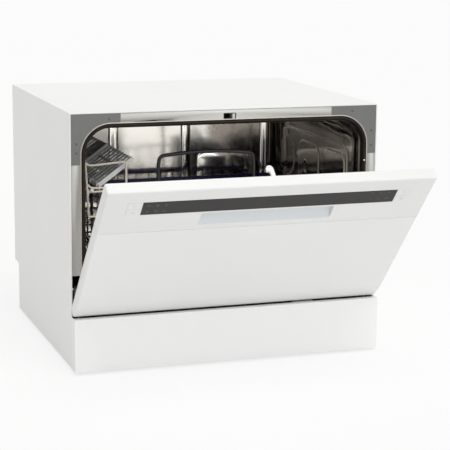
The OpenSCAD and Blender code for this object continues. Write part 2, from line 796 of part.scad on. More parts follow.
module intake_chamber() color("#e4e2da") {
    x0 = -inner_x + 2;
    x1 = -tub_half_w - tub_t - seat;
    z1 = tub_top_z - 15;
    w = 1.5;
    difference() {
        box([x0, -90, intake_z0], [x1, 120, z1]);
        box([x0 + w, -90 + w, intake_z0 + w], [x1 - w, 120 - w, z1 - w]);
        box([x1 - 2, 2, ledge_z + 130], [x1 + 1, 38, ledge_z + 156]);
        box([x0 + 6, intake_y - 8, intake_z0 - 1], [x0 + 16, intake_y + 8, intake_z0 + 2]);
    }
    for (y = [-50, 30]) box([x0 + 1, y, intake_z0 + 50], [x1 - 1, y + w, z1 - 45]);
}

module softener_tank() color("#cfd3d1") {
    top = pan_z - tub_t - seat;
    x0 = -(pan_half_w - 4);
    difference() {
        union() {
            box([x0, -70, tray_floor_z], [-62, 110, top - 8]);
            post(salt_x, salt_y, top - 9, pan_z + 0.5, 26);
        }
        post(salt_x, salt_y, tray_floor_z + 20, pan_z + 1, 20);
        box([x0 + 3, -67, tray_floor_z + 3], [-65, 107, top - 11]);
    }
}

module salt_cap() color("#3b3f45") {
    translate([salt_x, salt_y, 0]) difference() {
        union() {
            translate([0, 0, pan_z + 0.8]) cylinder(h = 7, r = 30);
            translate([0, 0, pan_z - 12]) cylinder(h = 13.5, r = 20 - running);
            translate([-24, -3, pan_z + 7]) cube([48, 6, 8]);
        }
        translate([0, 0, pan_z - 13]) cylinder(h = 14, r = 16);
    }
}

module flood_float() color("whitesmoke") {
    difference() {
        post(float_x, float_y, tray_floor_z, tray_floor_z + 12, 12);
        post(float_x, float_y, tray_floor_z - 1, tray_floor_z + 9, 10);
    }
    post(float_x, float_y, tray_floor_z + 11, tray_floor_z + 32, 2.5);
}

module cable_gland() color("#26282b") {
    difference() {
        union() {
            bar_y(gland_x, tray_rear_y - 6, tray_rear_y + 16, port_z, 8);
            bar_y(gland_x, tray_rear_y + 2.5, tray_rear_y + 8, port_z, 12);
        }
        bar_y(gland_x, tray_rear_y - 7, tray_rear_y + 17, port_z, 4);
    }
}

module wiring_harness() color("#444444") {
    y = tray_rear_y - 17;
    hose_run([[gland_x, tray_rear_y - 6 - seat, port_z], [gland_x, y, port_z], [gland_x, y, harness_z],
              [harness_x, y, harness_z], [harness_x, front_y + 45, harness_z]], 3.5);
}

module insulation_mats() color("#4a4644") {
    x0 = tub_half_w + tub_t;
    z0 = tub_top_z + tub_t;
    top_w = tub_half_w - 52;
    low = ledge_z + 38;
    box([-top_w, tub_front_y + 12, z0 + 0.1], [top_w, tub_back_y - 15, z0 + 4]);
    box([x0 + 0.1, tub_front_y + 12, low], [x0 + 4, tub_back_y - 15, tub_top_z - 50]);
    box([-top_w, tub_back_y + tub_t + 0.1, low], [top_w, tub_back_y + tub_t + 5, tub_top_z - 20]);
}

module cabinet_screws() color("silver") {
    outer = side_x - 25;
    low = side_x - 75;
    for (x = [-outer, -90, 90, outer], z = [rear_step_h + 14, total_h - 14])
        bar_y(x, rear_y - 3, rear_y - 0.6, z, 4);
    for (x = [-low, -100, 100, low]) bar_y(x, tray_rear_y + 1, tray_rear_y + 3.4, 24, 4);
}

module foot(sx, sy) color("#2b2b2b") {
    translate([sx * foot_x, sy * foot_span_y / 2, 0]) {
        cylinder(h = tray_bottom_z - seat, r = foot_r);
        translate([0, 0, tray_bottom_z - 1]) cylinder(h = tray_t + boss_h - 2, r = stem_r);
    }
}

// ---- door ----

module door_panel() color("white") in_door() {
    difference() {
        along_x(-side_x, side_x) polygon([
            [door_face_y, seam_z], [door_face_y, door_bottom_z + foot_lean_h],
            [door_face_y + foot_lean, door_bottom_z], [hinge_y + 1, door_bottom_z],
            [door_back_y, hinge_z - 7], [door_back_y, seam_z]
        ]);
        along_x(-side_x + panel_t, side_x - panel_t) polygon([
            [door_face_y + panel_t, seam_z + 1],
            [door_face_y + panel_t, door_bottom_z + foot_lean_h],
            [door_face_y + foot_lean + panel_t, door_bottom_z + panel_t],
            [hinge_y + 0.5, door_bottom_z + panel_t], [door_back_y, hinge_z - 7 + panel_t],
            [door_back_y + 1, seam_z + 1]
        ]);
        // Slots in the lower fold for the hinges
        both_sides() box([bracket_x - 1, door_face_y + foot_lean + panel_t, door_bottom_z - 1],
                         [arm_x + arm_t + 1, door_back_y + 1, hinge_z - 4]);
    }
    both_sides() box([lip_x, door_back_y - panel_t, hinge_z - 6],
                     [side_x - eps, door_back_y, seam_z]);
}

module control_console() color("#dfdfda") in_door() {
    y0 = door_face_y;
    pocket_low_z = pocket_top_z - pocket_h;
    difference() {
        union() {
            difference() {
                box([-side_x, y0, seam_z + 0.2], [side_x, door_back_y, total_h]);
                box([-side_x + console_t, y0 + console_t, seam_z - 1],
                    [side_x - console_t, door_back_y + 1, total_h - console_t]);
            }
            along_x(-pocket_half_w - console_t, pocket_half_w + console_t) polygon([
                [y0 + eps, pocket_top_z + console_t], [y0 + eps, pocket_low_z - 3],
                [y0 + pocket_d + console_t, pocket_top_z - 2],
                [y0 + pocket_d + console_t, pocket_top_z + console_t]
            ]);
        }
        along_x(-pocket_half_w, pocket_half_w) polygon([
            [y0 - 1, pocket_top_z], [y0 - 1, pocket_low_z - 1.5], [y0, pocket_low_z],
            [y0 + pocket_d, pocket_top_z - 3], [y0 + pocket_d, pocket_top_z]
        ]);
        // Recess of the strip
        box([-strip_half_w - 0.2, y0 - 1, strip_top_z - strip_h - 0.2],
            [strip_half_w + 0.2, y0 + 1.6, strip_top_z + 0.2]);
        // Holes of the buttons
        for (x = [-1, 1], z = [0, 1])
            box([x * button_x - button_w / 2 - 0.3, y0 - 1, button_z(z) - button_h / 2 - 0.3],
                [x * button_x + button_w / 2 + 0.3, y0 + console_t + 1,
                 button_z(z) + button_h / 2 + 0.3]);
    }
}

// Height of the middle of a button's row, 0 for the lower row
function button_z(row) = strip_top_z - strip_h / 2 + (row == 0 ? -8 : 8);

module display_strip() color("#3c3a38") in_door() {
    box([-strip_half_w, door_face_y, strip_top_z - strip_h],
        [strip_half_w, door_face_y + 1.6, strip_top_z]);
}

module button(side, row) color("white") in_door() {
    y0 = door_face_y - 0.3;
    box([side * button_x - button_w / 2, y0, button_z(row) - button_h / 2],
        [side * button_x + button_w / 2, y0 + 4.6, button_z(row) + button_h / 2]);
    bar_y(side * button_x, y0 + 4, y0 + 6.2, button_z(row), 2);
}

module control_board() color("#1f5c3a") in_door() {
    y0 = door_face_y + 9;
    z0 = strip_top_z - strip_h + 2;
    half = button_x + button_w / 2 + 7;
    box([-half, y0, z0], [half, y0 + 1.6, strip_top_z + 6]);
    for (x = [-1, 1], z = [0, 1])
        box([x * button_x - 3, door_face_y - 0.3 + 6.2 + button_travel + 0.1, button_z(z) - 3],
            [x * button_x + 3, y0 + 0.4, button_z(z) + 3]);
    for (x = [-150, 0, 150]) box([x - 14, y0 + 1, z0 + 6], [x + 14, y0 + 5, z0 + 20]);
    // Posts to the console's front wall
    for (x = [-200, -120, 120, 200]) bar_y(x, door_face_y + console_t, y0 + 0.5, strip_top_z + 3, 2.5);
}

module door_liner() color("silver") in_door() {
    y1 = door_back_y + liner_t;
    z0 = mouth_bottom_z + 26;
    z1 = mouth_top_z - 20;
    half = tub_half_w - 14;
    difference() {
        union() {
            box([-liner_edge_x, door_back_y, door_bottom_z + 3], [liner_edge_x, y1, liner_wide_z]);
            box([-lip_x + seat, door_back_y, liner_wide_z - eps], [lip_x - seat, y1, total_h - 4]);
            along_y(y1 - eps, door_back_y + liner_rise) rounded_panel(half, z0, z1, 30, 30);
        }
        along_y(door_back_y - 1, door_back_y + liner_rise - liner_t)
            rounded_panel(half - liner_t, z0 + liner_t, z1 - liner_t, 29, 29);
        box([disp_x0 - seat, door_back_y - 1, disp_z0 - seat],
            [disp_x1 + seat, door_back_y + liner_rise + 1, disp_z1 + seat]);
    }
}

module door_seal() color("#1c1a18") in_door() {
    half = mouth_half_w - 11;
    box([-half, door_back_y + liner_t, hinge_z + 1], [half, front_y - 0.4, hinge_z + 10]);
}

module dispenser_body() color("#aeb2b6") in_door() {
    y1 = door_back_y + liner_rise;
    difference() {
        union() {
            box([disp_x0, door_face_y + 6, disp_z0], [disp_x1, y1 + 0.5, disp_z1]);
            for (z = [cup_z0 - 12, cup_z1 + 6]) box([disp_x0 + 2, y1, z], [cup_x1 + 10, y1 + 5, z + 4]);
        }
        // Detergent cup, rinse-aid neck and the hollow behind
        box([cup_x0, door_face_y + 12, cup_z0], [cup_x1, y1 + 2, cup_z1]);
        bar_y(rinse_x, y1 - 20, y1 + 2, rinse_z, 12 + running);
        box([disp_x0 + 6, door_face_y + 5, disp_z0 + 5], [cup_x0 - 8, y1 - 3, disp_z1 - 5]);
    }
}

module dispenser_lid() color("#c4c8cb") in_door() {
    y1 = door_back_y + liner_rise + 0.5 + seat;
    difference() {
        union() {
            box([cup_x0 - 6, y1, cup_z0 - 7.6], [cup_x1 + 6, y1 + 3, cup_z1 + 5.6]);
            box([cup_x0 + 8, y1 + 2, cup_z0 + 6], [cup_x0 + 14, y1 + 6, cup_z1 - 8]);
        }
        box([cup_x0, y1 - 1, cup_z0 - 2], [cup_x1, y1 + 1, cup_z1]);
    }
}

module rinse_cap() color("#3f6fa8") in_door() {
    y1 = door_back_y + liner_rise + 0.5 + seat;
    bar_y(rinse_x, y1, y1 + 3, rinse_z, 16);
    bar_y(rinse_x, y1 - 14, y1 + eps, rinse_z, 12);
    box([rinse_x - 2, y1 + 2, rinse_z - 14], [rinse_x + 2, y1 + 8, rinse_z + 14]);
}

module latch_hook() color("white") in_door() {
    y0 = door_back_y + liner_t;
    z1 = total_h - 5;
    box([-hook_half_w, y0, hook_z - 6], [hook_half_w, y0 + 2.5, z1]);
    difference() {
        box([-6.5, y0 + 2, hook_z - hook_h / 2], [6.5, y0 + 30, hook_z + hook_h / 2]);
        box([-3.5, y0 + 14, hook_z - hook_h], [3.5, y0 + 23, hook_z + hook_h]);
    }
}

module hinge_arms() color("#9a9da0") in_door() {
    both_sides() {
        difference() {
            union() {
                along_x(arm_x, arm_x + arm_t) polygon([
                    [door_face_y + panel_t + 5, hinge_z - 4], [door_face_y + panel_t + 2, hinge_z + 30],
                    [door_face_y + panel_t + 2, arm_top_z], [door_back_y, arm_top_z],
                    [door_back_y, hinge_z + 24], [hinge_y + 14, hinge_z + 7],
                    [hinge_y + tail_len + 4, hinge_z + 5], [hinge_y + tail_len + 6, hinge_z],
                    [hinge_y + tail_len + 4, hinge_z - 5], [hinge_y + 6, hinge_z - 7],
                    [hinge_y - 4, hinge_z - 7]
                ]);
                // Tab screwed to the liner
                box([arm_x - 14, door_back_y - 2, liner_wide_z + 4],
                    [arm_x + eps, door_back_y, arm_top_z]);
                // Peg of the door spring
                bar_x(arm_x + arm_t - eps, arm_x + arm_t + 5.4, hinge_y + tail_len, hinge_z, 1.5);
            }
            bar_x(arm_x - 1, arm_x + arm_t + 1, hinge_y, hinge_z, pin_r + running);
        }
    }
}

// ---- rack ----

module rack_basket() color("#2b2740") {
    rack_ring(rack_rim_z, wire_r);
    rack_ring((rack_rim_z + rack_floor_z) / 2, thin_r);
    rack_ring(rack_floor_z, wire_r);
    for (i = [-4 : 4]) {
        x = i * (rack_half_w - 26) / 4;
        wire_y(x, rack_front_y, rack_rear_y, rack_floor_z, thin_r);
        for (y = [rack_front_y, rack_rear_y]) wire_z(x, y, rack_floor_z, rack_rim_z, thin_r);
    }
    for (i = [0 : 5]) {
        y = rack_front_y + 25 + i * (rack_d - 50) / 5;
        wire_x(-rack_half_w, rack_half_w, y, rack_floor_z, thin_r);
        for (s = [-1, 1]) wire_z(s * rack_half_w, y, rack_floor_z, rack_rim_z, thin_r);
    }
    // Wire that carries the arch handle
    wire_x(-rack_half_w, rack_half_w, arch_y, rack_floor_z, thin_r);
    // Two rows of plate tines
    for (y = [tine_row_y(0), tine_row_y(1)]) {
        wire_x(-180, 140, y, rack_floor_z + 3, thin_r);
        for (i = [0 : 9]) wire_z(-165 + i * 32, y, rack_floor_z, rack_floor_z + 82, thin_r);
    }
}
function tine_row_y(i) = rack_front_y + 190 + i * 70;

module rack_handle() color("#34363a") {
    bow = 24;
    for (s = [-1, 1]) {
        wide = arch_x + s * arch_half_w;
        wire_z(wide, arch_y, rack_floor_z + thin_r + 1, arch_top_z - bow, arch_r);
        translate([wide - s * bow, arch_y, arch_top_z - bow]) rotate([90, s == 1 ? 0 : -90, 0])
            rotate_extrude(angle = 90) translate([bow, 0]) circle(r = arch_r, $fn = wire_sides);
        // Clip over the floor wires
        box([wide - 7, arch_y - 7, rack_floor_z + thin_r + 0.2], [wide + 7, arch_y + 7,
             rack_floor_z + 10]);
    }
    wire_x(arch_x - arch_half_w + bow, arch_x + arch_half_w - bow, arch_y, arch_top_z, arch_r);
}

module rack_loops() color("#b9b2a2") {
    z0 = rack_rim_z + wire_r;
    c = 8;
    for (y = [rack_front_y, rack_rear_y]) {
        wire_z(loop_left_x, y, z0, loop_top_z, rod_r);
        wire_z(loop_right_x, y, z0, loop_top_z, rod_r);
        wire_x(loop_left_x - rod_r, loop_right_x + rod_r, y, loop_top_z, rod_r);
        wire_x(loop_left_x, rod_x + 14, y, shelf_rod_z - 3, rod_r);
        wire_x(loop_left_x, -rack_half_w + 10, y, z0 + rod_r, rod_r);
        wire_x(loop_right_x - 8, loop_right_x + 8, y, z0 + rod_r, rod_r);
    }
    bar_y(rod_x, rack_front_y - 1, rack_rear_y + 1, shelf_rod_z, rod_r);
    wire_y(loop_left_x, rack_front_y, rack_rear_y, shelf_rod_z - 3 - 2 * rod_r, rod_r);
}

module wheel_carriers() color("#2b2e33") {
    for (s = [-1, 1], y = [rack_front_y + wheel_inset, rack_rear_y - wheel_inset]) {
        x = s * rack_half_w;
        difference() {
            union() {
                box([x - 5, y - 14, wheel_z - 5], [x + 5 - (s == 1 ? 2 : 0), y + 14, rack_floor_z + 6]);
                bar_x(s == 1 ? x + 2 : x - 6 - wheel_w - 1, s == 1 ? x + 6 + wheel_w + 1 : x - 2,
                      y, wheel_z, axle_r);
            }
            wire_y(x, y - 20, y + 20, rack_floor_z, wire_r + 0.2);
            box([x - 6, y - 15, rack_floor_z - thin_r - 0.3],
                [x + 6, y + 15, rack_floor_z + 12]);
        }
    }
}

module wheel_pair(y) color("#6d7176") {
    for (s = [-1, 1]) {
        x0 = s == 1 ? wheel_x + 1 : -wheel_x - 1 - wheel_w;
        difference() {
            bar_x(x0, x0 + wheel_w, y, wheel_z, wheel_r);
            bar_x(x0 - 1, x0 + wheel_w + 1, y, wheel_z, axle_r + running);
            for (a = [0 : 60 : 300]) translate([x0 - 1, y, wheel_z]) rotate([a, 0, 0])
                translate([0, 7.5, 0]) rotate([0, 90, 0]) cylinder(h = wheel_w + 2, r = 2);
        }
    }
}

module cup_shelf(y0) color("#8d9094") {
    y1 = y0 + shelf_len;
    translate([rod_x, 0, shelf_rod_z]) rotate([0, -shelf_tilt, 0]) {
        difference() {
            union() {
                box([-4.5, y0, -4.5], [4.5, y1, 4.5]);
                box([0, y0, -4.5], [shelf_w, y1, 0]);
                box([shelf_w - 5, y0, -4.5], [shelf_w, y1, 7]);
            }
            bar_y(0, y0 - 1, y1 + 1, 0, rod_r + running);
            for (i = [0 : 6], j = [0, 1, 2])
                box([9 + j * 21, y0 + 8 + i * (shelf_len - 10) / 7, -6],
                    [26 + j * 21, y0 + 8 + (i + 0.72) * (shelf_len - 10) / 7, 5]);
        }
    }
}

module cutlery_basket() color("#74787d") {
    x0 = basket_x0;
    x1 = basket_x1;
    y0 = basket_y0;
    y1 = basket_y1;
    z0 = rack_floor_z + thin_r + seat;
    w = 2;
    difference() {
        box([x0, y0, z0], [x1, y1, basket_z1]);
        for (i = [0, 1], j = [0, 1, 2]) {
            cx = x0 + w + i * ((x1 - x0 - w) / 2);
            cy = y0 + w + j * ((y1 - y0 - w) / 3);
            box([cx, cy, z0 + w], [cx + (x1 - x0 - w) / 2 - w, cy + (y1 - y0 - w) / 3 - w,
                 basket_z1 + 1]);
        }
        for (i = [0 : 8], j = [0 : 3])
            box([x0 - 1, y0 + 8 + i * 13.5, z0 + 12 + j * 23],
                [x1 + 1, y0 + 14 + i * 13.5, z0 + 28 + j * 23]);
    }
    // Carrying loop over the middle wall
    ym = y0 + w / 2 + (y1 - y0 - w) / 3;
    xm = (x0 + x1) / 2;
    along_y(ym - 1, ym + 1) difference() {
        translate([xm - 22, basket_z1 - eps]) square([44, 18]);
        translate([xm - 16, basket_z1 - 1]) square([32, 13]);
    }
}

outer_cabinet();
tub();
tub_floor();
corner_plates();
tub_gasket();
rear_cover();
base_tray();
kick_panel();
hinge_brackets();
door_springs();
gap_bracket();
latch_housing();
latch_lever();
sump();
filter_plate();
filter_cylinder();
spray_hub();
spray_arm();
wash_pump();
heater();
drain_pump();
drain_outlet();
inlet_valve();
water_hoses();
intake_chamber();
softener_tank();
salt_cap();
flood_float();
cable_gland();
wiring_harness();
insulation_mats();
cabinet_screws();
foot(-1, -1);  // foot_front_left
foot(1, -1);  // foot_front_right
foot(-1, 1);  // foot_rear_left
foot(1, 1);  // foot_rear_right
door_panel();
control_console();
display_strip();
control_board();
door_liner();
door_seal();
dispenser_body();
dispenser_lid();
rinse_cap();
latch_hook();
hinge_arms();
button(-1, 1);  // power_button
button(-1, 0);  // program_button
button(1, 1);  // delay_button
button(1, 0);  // start_button
rack_basket();
rack_handle();
rack_loops();
wheel_carriers();
wheel_pair(rack_front_y + wheel_inset);  // front_wheels
wheel_pair(rack_rear_y - wheel_inset);  // rear_wheels
cup_shelf(rack_front_y + 8);  // cup_shelf_front
cup_shelf(rack_rear_y - 8 - shelf_len);  // cup_shelf_rear
cutlery_basket();
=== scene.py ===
import math

import bpy
import bmesh
from mathutils import Matrix, Vector
from mathutils.geometry import tessellate_polygon


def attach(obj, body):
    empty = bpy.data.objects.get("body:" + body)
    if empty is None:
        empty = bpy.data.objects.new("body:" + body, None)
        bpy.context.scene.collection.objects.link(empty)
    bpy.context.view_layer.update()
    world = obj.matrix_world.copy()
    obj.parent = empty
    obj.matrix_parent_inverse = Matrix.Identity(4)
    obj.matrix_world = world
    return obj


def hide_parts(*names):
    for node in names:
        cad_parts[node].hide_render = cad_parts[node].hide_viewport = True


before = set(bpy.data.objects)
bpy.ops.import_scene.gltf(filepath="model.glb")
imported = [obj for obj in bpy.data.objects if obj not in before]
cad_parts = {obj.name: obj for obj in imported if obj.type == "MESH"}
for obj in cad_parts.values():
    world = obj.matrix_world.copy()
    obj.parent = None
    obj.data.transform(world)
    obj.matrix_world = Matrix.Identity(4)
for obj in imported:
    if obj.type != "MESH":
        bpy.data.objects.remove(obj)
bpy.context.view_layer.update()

MM = 0.001

# -------------------- sizes, in millimetres
SIDE_X, FRONT_Y, TOP_Z = 275.0, -235.0, 438.0
DOOR_FACE, DOOR_BACK = -259.0, -239.0
SEAM_Z, EDGE = 336.0, 3.2
HINGE_Y, HINGE_Z, REST = -245.0, 111.5, math.radians(42)
MOUTH = dict(half=255.0, low=124.0, top=418.0, r_top=50.0, r_low=20.0)
TUB_HALF, TUB_TOP, LEDGE_Z, PAN_Z, PAN_HALF = 247.0, 410.0, 132.0, 118.0, 204.0
TUB_FRONT, TUB_BACK = -222.5, 186.5
REAR_ROUND, REAR_ROUND_LEFT = 34.0, 16.0
FLANGE_Y, FLANGE_HALF, FLANGE_TOP, PLATE = -234.0, 272.7, 435.7, 84.0
RACK_FRONT, RACK_REAR, RACK_HALF, RIM_R = -205.0, 125.0, 226.0, 20.0
FLOOR_WIRE_Z, RIM_Z = 166.0, 254.0
SHELF_LENGTH, SHELF_WIDTH, SHELF_TILT = 148.0, 76.0, math.radians(36)
ROD_X, ROD_Z = -217, 310
ARM_Y = -18

# -------------------- camera, stage and light

PHOTO_PX, FOCAL_PX, SENSOR = 450, 1536.66, 36.0
CAMERA_AT = (-0.85136, -2.67214, 0.74589)
WHITE = (1, 1, 1, 1)
FLOOR_HALF, FLOOR_GLOW = 14.0, 0.78
# Name, strength, angle in degrees, colour and direction
LAMPS = (("key", 1.12, 50, (1, 1, 0.99), (-0.12, 0.34, -0.93)),
         ("fill", 0.78, 70, (0.93, 0.97, 1), (-0.4, 0.87, -0.27)))


def put_in_scene(obj):
    bpy.context.scene.collection.objects.link(obj)
    return obj


def make_camera():
    """The camera that the photograph's edges give, on a square frame."""
    pitch, yaw, roll = 0.19447, 0.33437, 0.00978
    forward = Vector((math.sin(yaw) * math.cos(pitch), math.cos(yaw) * math.cos(pitch), -math.sin(pitch)))
    level = Vector((math.cos(yaw), -math.sin(yaw), 0))
    above = level.cross(forward)
    right = level * math.cos(roll) + above * math.sin(roll)
    up = above * math.cos(roll) - level * math.sin(roll)
    data = bpy.data.cameras.new("camera")
    data.sensor_width = SENSOR
    data.lens = FOCAL_PX / PHOTO_PX * SENSOR
    data.clip_start, data.clip_end = 0.05, 60
    cam = put_in_scene(bpy.data.objects.new("camera", data))
    cam.matrix_world = Matrix([(r, u, -f, at) for r, u, f, at in zip(right, up, forward, CAMERA_AT)]
                              + [(0, 0, 0, 1)])
    bpy.context.scene.camera = cam


def empty_tree(holder):
    holder.use_nodes = True
    holder.node_tree.nodes.clear()
    return holder.node_tree


def shader_node(nt, kind, operation=None, **values):
    """A shader node with values on its sockets; _ in a keyword stands for a space."""
    made = nt.nodes.new("ShaderNode" + kind)
    if operation:
        made.operation = operation
    for name, value in values.items():
        made.inputs[name.replace("_", " ")].default_value = value
    return made


def blend(nt, factor, first, second, out):
    mix = shader_node(nt, "MixShader")
    for k, socket in enumerate((factor, first.outputs[0], second.outputs[0])):
        nt.links.new(socket, mix.inputs[k])
    nt.links.new(mix.outputs[0], out.inputs[0])


def seen_directly(nt):
    """1 for rays that look at the background straight, in a mirror or through glass."""
    path = shader_node(nt, "LightPath")
    total = path.outputs["Is Camera Ray"]
    for name in ("Is Glossy Ray", "Is Transmission Ray"):
        most = shader_node(nt, "Math", "MAXIMUM")
        nt.links.new(total, most.inputs[0])
        nt.links.new(path.outputs[name], most.inputs[1])
        total = most.outputs[0]
    return total


def make_stage():
    scene = bpy.context.scene
    scene.world = bpy.data.worlds.new("studio")
    nt = empty_tree(scene.world)
    blend(nt, seen_directly(nt), shader_node(nt, "Background", Color=(1.0, 0.99, 0.97, 1), Strength=0.53),
          shader_node(nt, "Background", Color=WHITE, Strength=1.0), shader_node(nt, "OutputWorld"))

    mesh = bpy.data.meshes.new("floor")
    s = FLOOR_HALF
    mesh.from_pydata([(-s, -s, 0), (s, -s, 0), (s, s, 0), (-s, s, 0)], [], [(0, 1, 2, 3)])
    floor = put_in_scene(bpy.data.objects.new("floor", mesh))
    mat = bpy.data.materials.new("floor")
    nt = empty_tree(mat)
    share = shader_node(nt, "Math", "MULTIPLY")
    nt.links.new(seen_directly(nt), share.inputs[0])
    share.inputs[1].default_value = FLOOR_GLOW
    blend(nt, share.outputs[0], shader_node(nt, "BsdfDiffuse", Color=(0.92, 0.92, 0.92, 1)),
          shader_node(nt, "Emission", Color=WHITE, Strength=1.0), shader_node(nt, "OutputMaterial"))
    mesh.materials.append(mat)

    for name, strength, angle, tint, towards in LAMPS:
        data = bpy.data.lights.new(name, "SUN")
        data.energy = strength
        data.color = tint
        data.angle = math.radians(angle)
        lamp = put_in_scene(bpy.data.objects.new(name, data))
        lamp.rotation_mode = "QUATERNION"
        lamp.rotation_quaternion = Vector(towards).to_track_quat("-Z", "Y")
    scene.view_settings.view_transform = "Standard"


# -------------------- materials

def surface(name, low, high, rough, grain, bump, depth, patch=9.0, metal=0.0, spread=0.05,
            stretch=(1, 1, 1), ior=1.5, wave=0.0, wave_scale=14.0):
    """A finish whose colour wanders between two tones, with a fine relief (depth in mm) and a slow wave."""
    mat = bpy.data.materials.new(name)
    nt = empty_tree(mat)
    link = nt.links.new
    bsdf = shader_node(nt, "BsdfPrincipled", Metallic=metal, IOR=ior)
    link(bsdf.outputs[0], shader_node(nt, "OutputMaterial").inputs[0])
    place = shader_node(nt, "TexCoord").outputs["Object"]
    scaled = shader_node(nt, "Mapping", Scale=stretch)
    link(place, scaled.inputs["Vector"])

    def noise(scale, detail, where):
        made = shader_node(nt, "TexNoise", Scale=scale, Detail=detail)
        link(where, made.inputs["Vector"])
        return made.outputs["Fac"]
    big = noise(patch, 3, place)
    fine = noise(grain, 2, scaled.outputs[0])

    both = shader_node(nt, "Math", "MULTIPLY_ADD")
    link(fine, both.inputs[0])
    both.inputs[1].default_value = 0.45
    link(big, both.inputs[2])
    ramp = shader_node(nt, "ValToRGB")
    for stop, position, tone in zip(ramp.color_ramp.elements, (0.45, 1.0), (low, high)):
        stop.position = position
        stop.color = (*tone, 1)
    link(both.outputs[0], ramp.inputs[0])
    link(ramp.outputs[0], bsdf.inputs["Base Color"])

    finish = shader_node(nt, "MapRange", From_Min=0.3, From_Max=0.7, To_Min=max(0.02, rough - spread),
                         To_Max=min(1.0, rough + spread))
    link(fine, finish.inputs["Value"])
    link(finish.outputs[0], bsdf.inputs["Roughness"])

    layers = [(fine, bump, depth * MM)]
    if wave:
        layers.insert(0, (noise(wave_scale, 1, place), 1.0, wave))
    normal = None
    for height, strength, distance in layers:
        layer = shader_node(nt, "Bump", Strength=strength, Distance=distance)
        link(height, layer.inputs["Height"])
        if normal:
            link(normal.outputs[0], layer.inputs["Normal"])
        normal = layer
    link(normal.outputs[0], bsdf.inputs["Normal"])
    return mat


